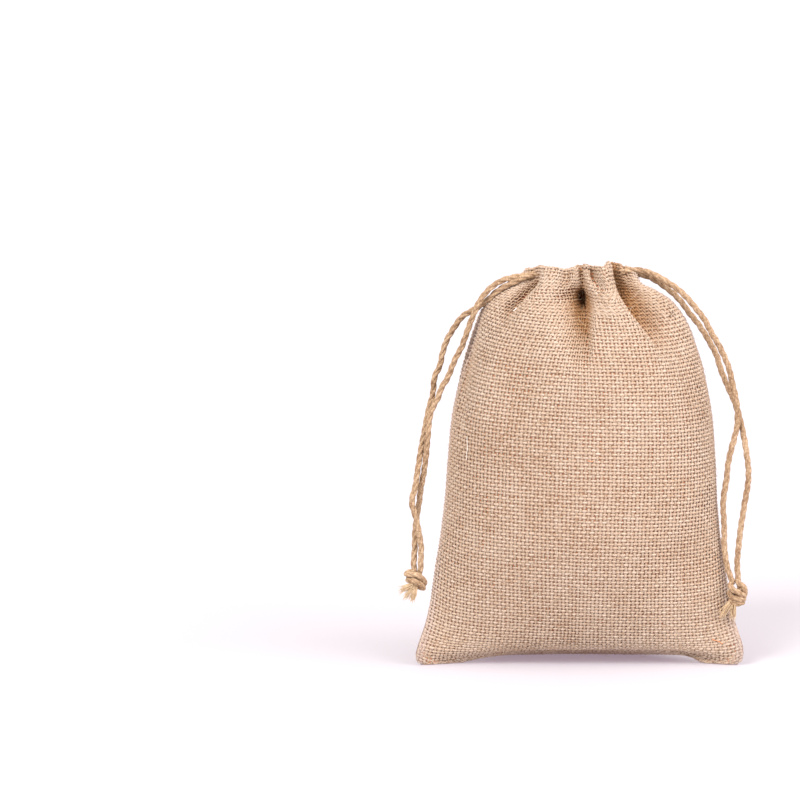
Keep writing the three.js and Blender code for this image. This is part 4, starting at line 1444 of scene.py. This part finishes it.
def build_fuzz(graph, given):
    sockets = {0: given["Geometry"], "Density": given["Density"], "Seed": given["Seed"]}
    spots = graph.node("GeometryNodeDistributePointsOnFaces", None, sockets)
    line = graph.node("GeometryNodeCurvePrimitiveLine", None, {"Start": (0, 0, 0), "End": (0, 0, 1)})
    fine = graph.node("GeometryNodeResampleCurve", None, {0: line, "Count": 6})
    luck = luck_at(graph, graph.scaled(graph.node("GeometryNodeInputPosition"), 977.0), "Color")
    luck_x, luck_y, luck_z = graph.parts(luck)
    normal = {"Vector": spots.other("Normal")}
    upright = graph.node("FunctionNodeAlignRotationToVector", {"axis": "Z"}, normal)
    spun = turned_by(graph, upright, graph.vector(0.0, 0.0, luck_y * math.tau))
    leaning = turned_by(graph, spun, graph.vector(1.2 + luck_x * 0.32, 0.0, luck_y * math.tau))
    size = given["Length"] * (0.35 + luck_z * luck_z * 0.9)
    sockets = {"Points": spots, "Instance": fine, "Rotation": leaning, "Scale": size}
    placed = graph.node("GeometryNodeInstanceOnPoints", None, sockets)
    fibres = graph.node("GeometryNodeRealizeInstances", None, {0: placed})
    bend = bend_at(graph, graph.scaled(graph.node("GeometryNodeInputPosition"), 260.0))
    reach = graph.node("GeometryNodeSplineParameter") * given["Length"] * 1.3
    fibres = moved_by(graph, fibres, graph.scaled(bend, reach))
    x, y, z = graph.parts(graph.node("GeometryNodeInputPosition"))
    fibres = moved_to(graph, fibres, graph.vector(x, y, graph.maths("MAXIMUM", z, LOWEST_FIBRE)))
    circle = graph.node("GeometryNodeCurvePrimitiveCircle", None, {0: 3, 4: given["Fibre Radius"]})
    taper = 1.0 - graph.node("GeometryNodeSplineParameter") * 0.5
    end_growth(graph, swept(graph, fibres, circle, taper), given["Material"])


build_fuzz(fuzz_growth, fuzz_in)
print("Tree", fuzz_growth.tree.name, "has", len(fuzz_growth.tree.nodes), "nodes")

# %% [markdown]
# How many and how long
#
# Too many stray fibres make felt of the cloth, and too few make plastic of it. They stand on a coarse
# copy of the outside without its hems, which is thrown away when they have grown. They are paler
# than the yarns, as single fibres are.

# %% Strew fibres on the cloth
FUZZ_JUTE = jute(
    "stray_jute", (0.5, 0.34, 0.2), (0.72, 0.57, 0.42), (0.92, 0.82, 0.7),
    streaks=40.0, patch_scale=60.0, bump=0.2,
)
FUZZ_BELOW_OUTSIDE = 0.1
without_hems = slice(HEM_TURNED_IN, -HEM_TURNED_IN, 4)
fuzz_sheet = grid_mesh("fuzz_sheet", strip_points(FUZZ_BELOW_OUTSIDE)[without_hems, ::4])
values = {
    "Density": 26000.0,
    "Length": 5.5 * MM,
    "Fibre Radius": 0.07 * MM,
    "Seed": 4,
    "Material": FUZZ_JUTE,
}
fuzz = grown(fuzz_sheet, fuzz_growth, values, "stray_fibres")
discard(fuzz_sheet)

# %% [markdown]
# A few fibres one by one
#
# Strewn fibres are all of one kind, and real cloth has its own accidents: a dyed fibre caught in a
# corner, a bleached hair, a dark bit of bark. Each is one thin line laid on the front of the cloth. It
# has a thickness, a colour, and its points as a height up the cloth and degrees round the row.

# %% Fibres laid one by one
LAID_FIBRES = {
    "dyed_fibre": (0.3, (0.8, 0.3, 0.12), [(18, 56.5), (16.5, 59.5), (14, 62.5)]),
    "dyed_speck": (0.4, (0.75, 0.3, 0.14), [(109, 0.8), (108.5, 1.8), (108.5, 3)]),
    "bleached_hair": (0.22, (0.9, 0.86, 0.8), [(116.5, -61.5), (111.5, -60), (106, -60.2)]),
    "bleached_bit": (0.45, (0.95, 0.92, 0.88), [(175.5, -47), (176.5, -46.2), (177.5, -45.5)]),
    "bark_bit": (0.28, (0.09, 0.055, 0.035), [(171, 60), (172, 65), (173.5, 68.5)]),
}


ABOVE_CLOTH = 0.15


def on_cloth(up, degrees):
    """A point that stands a little off the front of the cloth."""
    place, above, beside = (
        row_points("front", u, np.array([d], float))[0]
        for u, d in ((up, degrees), (up + 0.5, degrees), (up, degrees + 0.5))
    )
    outward = np.cross(beside - place, above - place)
    return place + outward / np.linalg.norm(outward) * ABOVE_CLOTH


laid_fibres = []
for k, (name, (thickness, tint, points)) in enumerate(LAID_FIBRES.items()):
    darker = tuple(0.8 * c for c in tint)
    lighter = tuple(min(1.1 * c, 1) for c in tint)
    material = jute(name, darker, tint, lighter, streaks=3.0, patch_scale=60.0, bump=0.1)
    line = smooth_line([on_cloth(up, degrees) for up, degrees in points], 0.5)
    changes = {
        "Plies": 1,
        "Ply Radius": thickness / 2 * MM,
        "Offset": 0.1 * MM,
        "Lay": 5 * MM,
        "Unevenness": 0.8,
        "Sides": 6,
        "Material": material,
    }
    laid_fibres.append(laid_up(name, [line], 0.3 * k, changes))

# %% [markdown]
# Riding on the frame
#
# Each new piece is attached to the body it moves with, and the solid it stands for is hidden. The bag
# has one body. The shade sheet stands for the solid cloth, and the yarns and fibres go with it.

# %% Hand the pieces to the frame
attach(shade_sheet, "root")
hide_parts("bag_cloth")
for piece in [*yarn_sets, fuzz, *laid_fibres]:
    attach(piece, "root")
for name, piece in [*cords.items(), *knot_pieces.items()]:
    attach(piece, "root")
    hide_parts(name)
for piece in [*tufts["right_knot"], *tufts["left_knot"]]:
    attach(piece, "root")
print("Pieces that stand for a solid: the cloth,", len(cords), "cords and", len(knot_pieces), "knots")

# %% [markdown]
# Cord lines in metres
#
# For each cord the name of its knot, the point where it leaves the hem and the points of its line are
# worked out in metres. Nothing more is done with them.

for name, piece in cords.items():
    line = cord_lines[name]
    knot = "right_knot" if "right" in name else "left_knot"
    tuple(line[0] * MM)
    [tuple(point * MM) for point in line]

# %% [markdown]
# Floor
#
# The bag stands on a pale floor that reaches further than the camera sees. The floor glows faintly in
# violet, which shows only where the bag keeps the lamps off, and gives the shadow its tint.

# %% Floor
FLOOR_REACH = 60.0
floor_corners = [(x * FLOOR_REACH, y * FLOOR_REACH, 0) for x, y in ((-1, -1), (1, -1), (1, 1), (-1, 1))]
floor_mesh = bpy.data.meshes.new("floor")
floor_mesh.from_pydata(floor_corners, [], [(0, 1, 2, 3)])
floor = bpy.data.objects.new("floor", floor_mesh)
bpy.context.scene.collection.objects.link(floor)
floor_material = bpy.data.materials.new("white_floor")
floor_material.use_nodes = True
floor_shader = floor_material.node_tree.nodes["Principled BSDF"]
floor_shader.inputs["Base Color"].default_value = (0.45, 0.455, 0.47, 1)
floor_shader.inputs["Emission Color"].default_value = (1, 0.78, 0.96, 1)
floor_shader.inputs["Emission Strength"].default_value = 0.26
floor_shader.inputs["Roughness"].default_value = 0.7
floor_mesh.materials.append(floor_material)
print("Floor of", 2 * FLOOR_REACH, "m")

# %% [markdown]
# Sky and lamps
#
# A warm sky fills the folds. Two lamps of about the same strength stand at the left and at the right,
# the right one wider and softer, and a weaker one stands above. A sun lamp with a wide angle gives
# the same light everywhere and shadows with soft edges, like a large box far away.

# %% Sky and lamps
world = bpy.data.worlds.new("studio")
bpy.context.scene.world = world
world.use_nodes = True
world.node_tree.nodes["Background"].inputs["Color"].default_value = (1, 0.95, 0.88, 1)
world.node_tree.nodes["Background"].inputs["Strength"].default_value = 0.6


def lamp(name, direction, strength, softness, colour):
    """A soft lamp far away in a direction, as strong as a white wall that faces it would look."""
    data = bpy.data.lights.new(name, "SUN")
    data.energy = strength * math.pi
    data.angle = math.radians(softness)
    data.color = colour
    made = bpy.data.objects.new(name, data)
    made.rotation_euler = Vector(direction).to_track_quat("Z", "Y").to_euler()
    bpy.context.scene.collection.objects.link(made)


lamp("left_box", (-0.75, -0.95, 1.0), 0.84, 24, (1, 0.995, 0.985))
lamp("right_box", (1.0, -0.5, 0.5), 0.86, 55, (0.98, 0.97, 1))
lamp("top_box", (0.1, -0.2, 1.0), 0.46, 60, (1, 0.98, 0.96))
bpy.context.scene.view_settings.view_transform = "Standard"
print("Sky", world.name, "and three lamps")
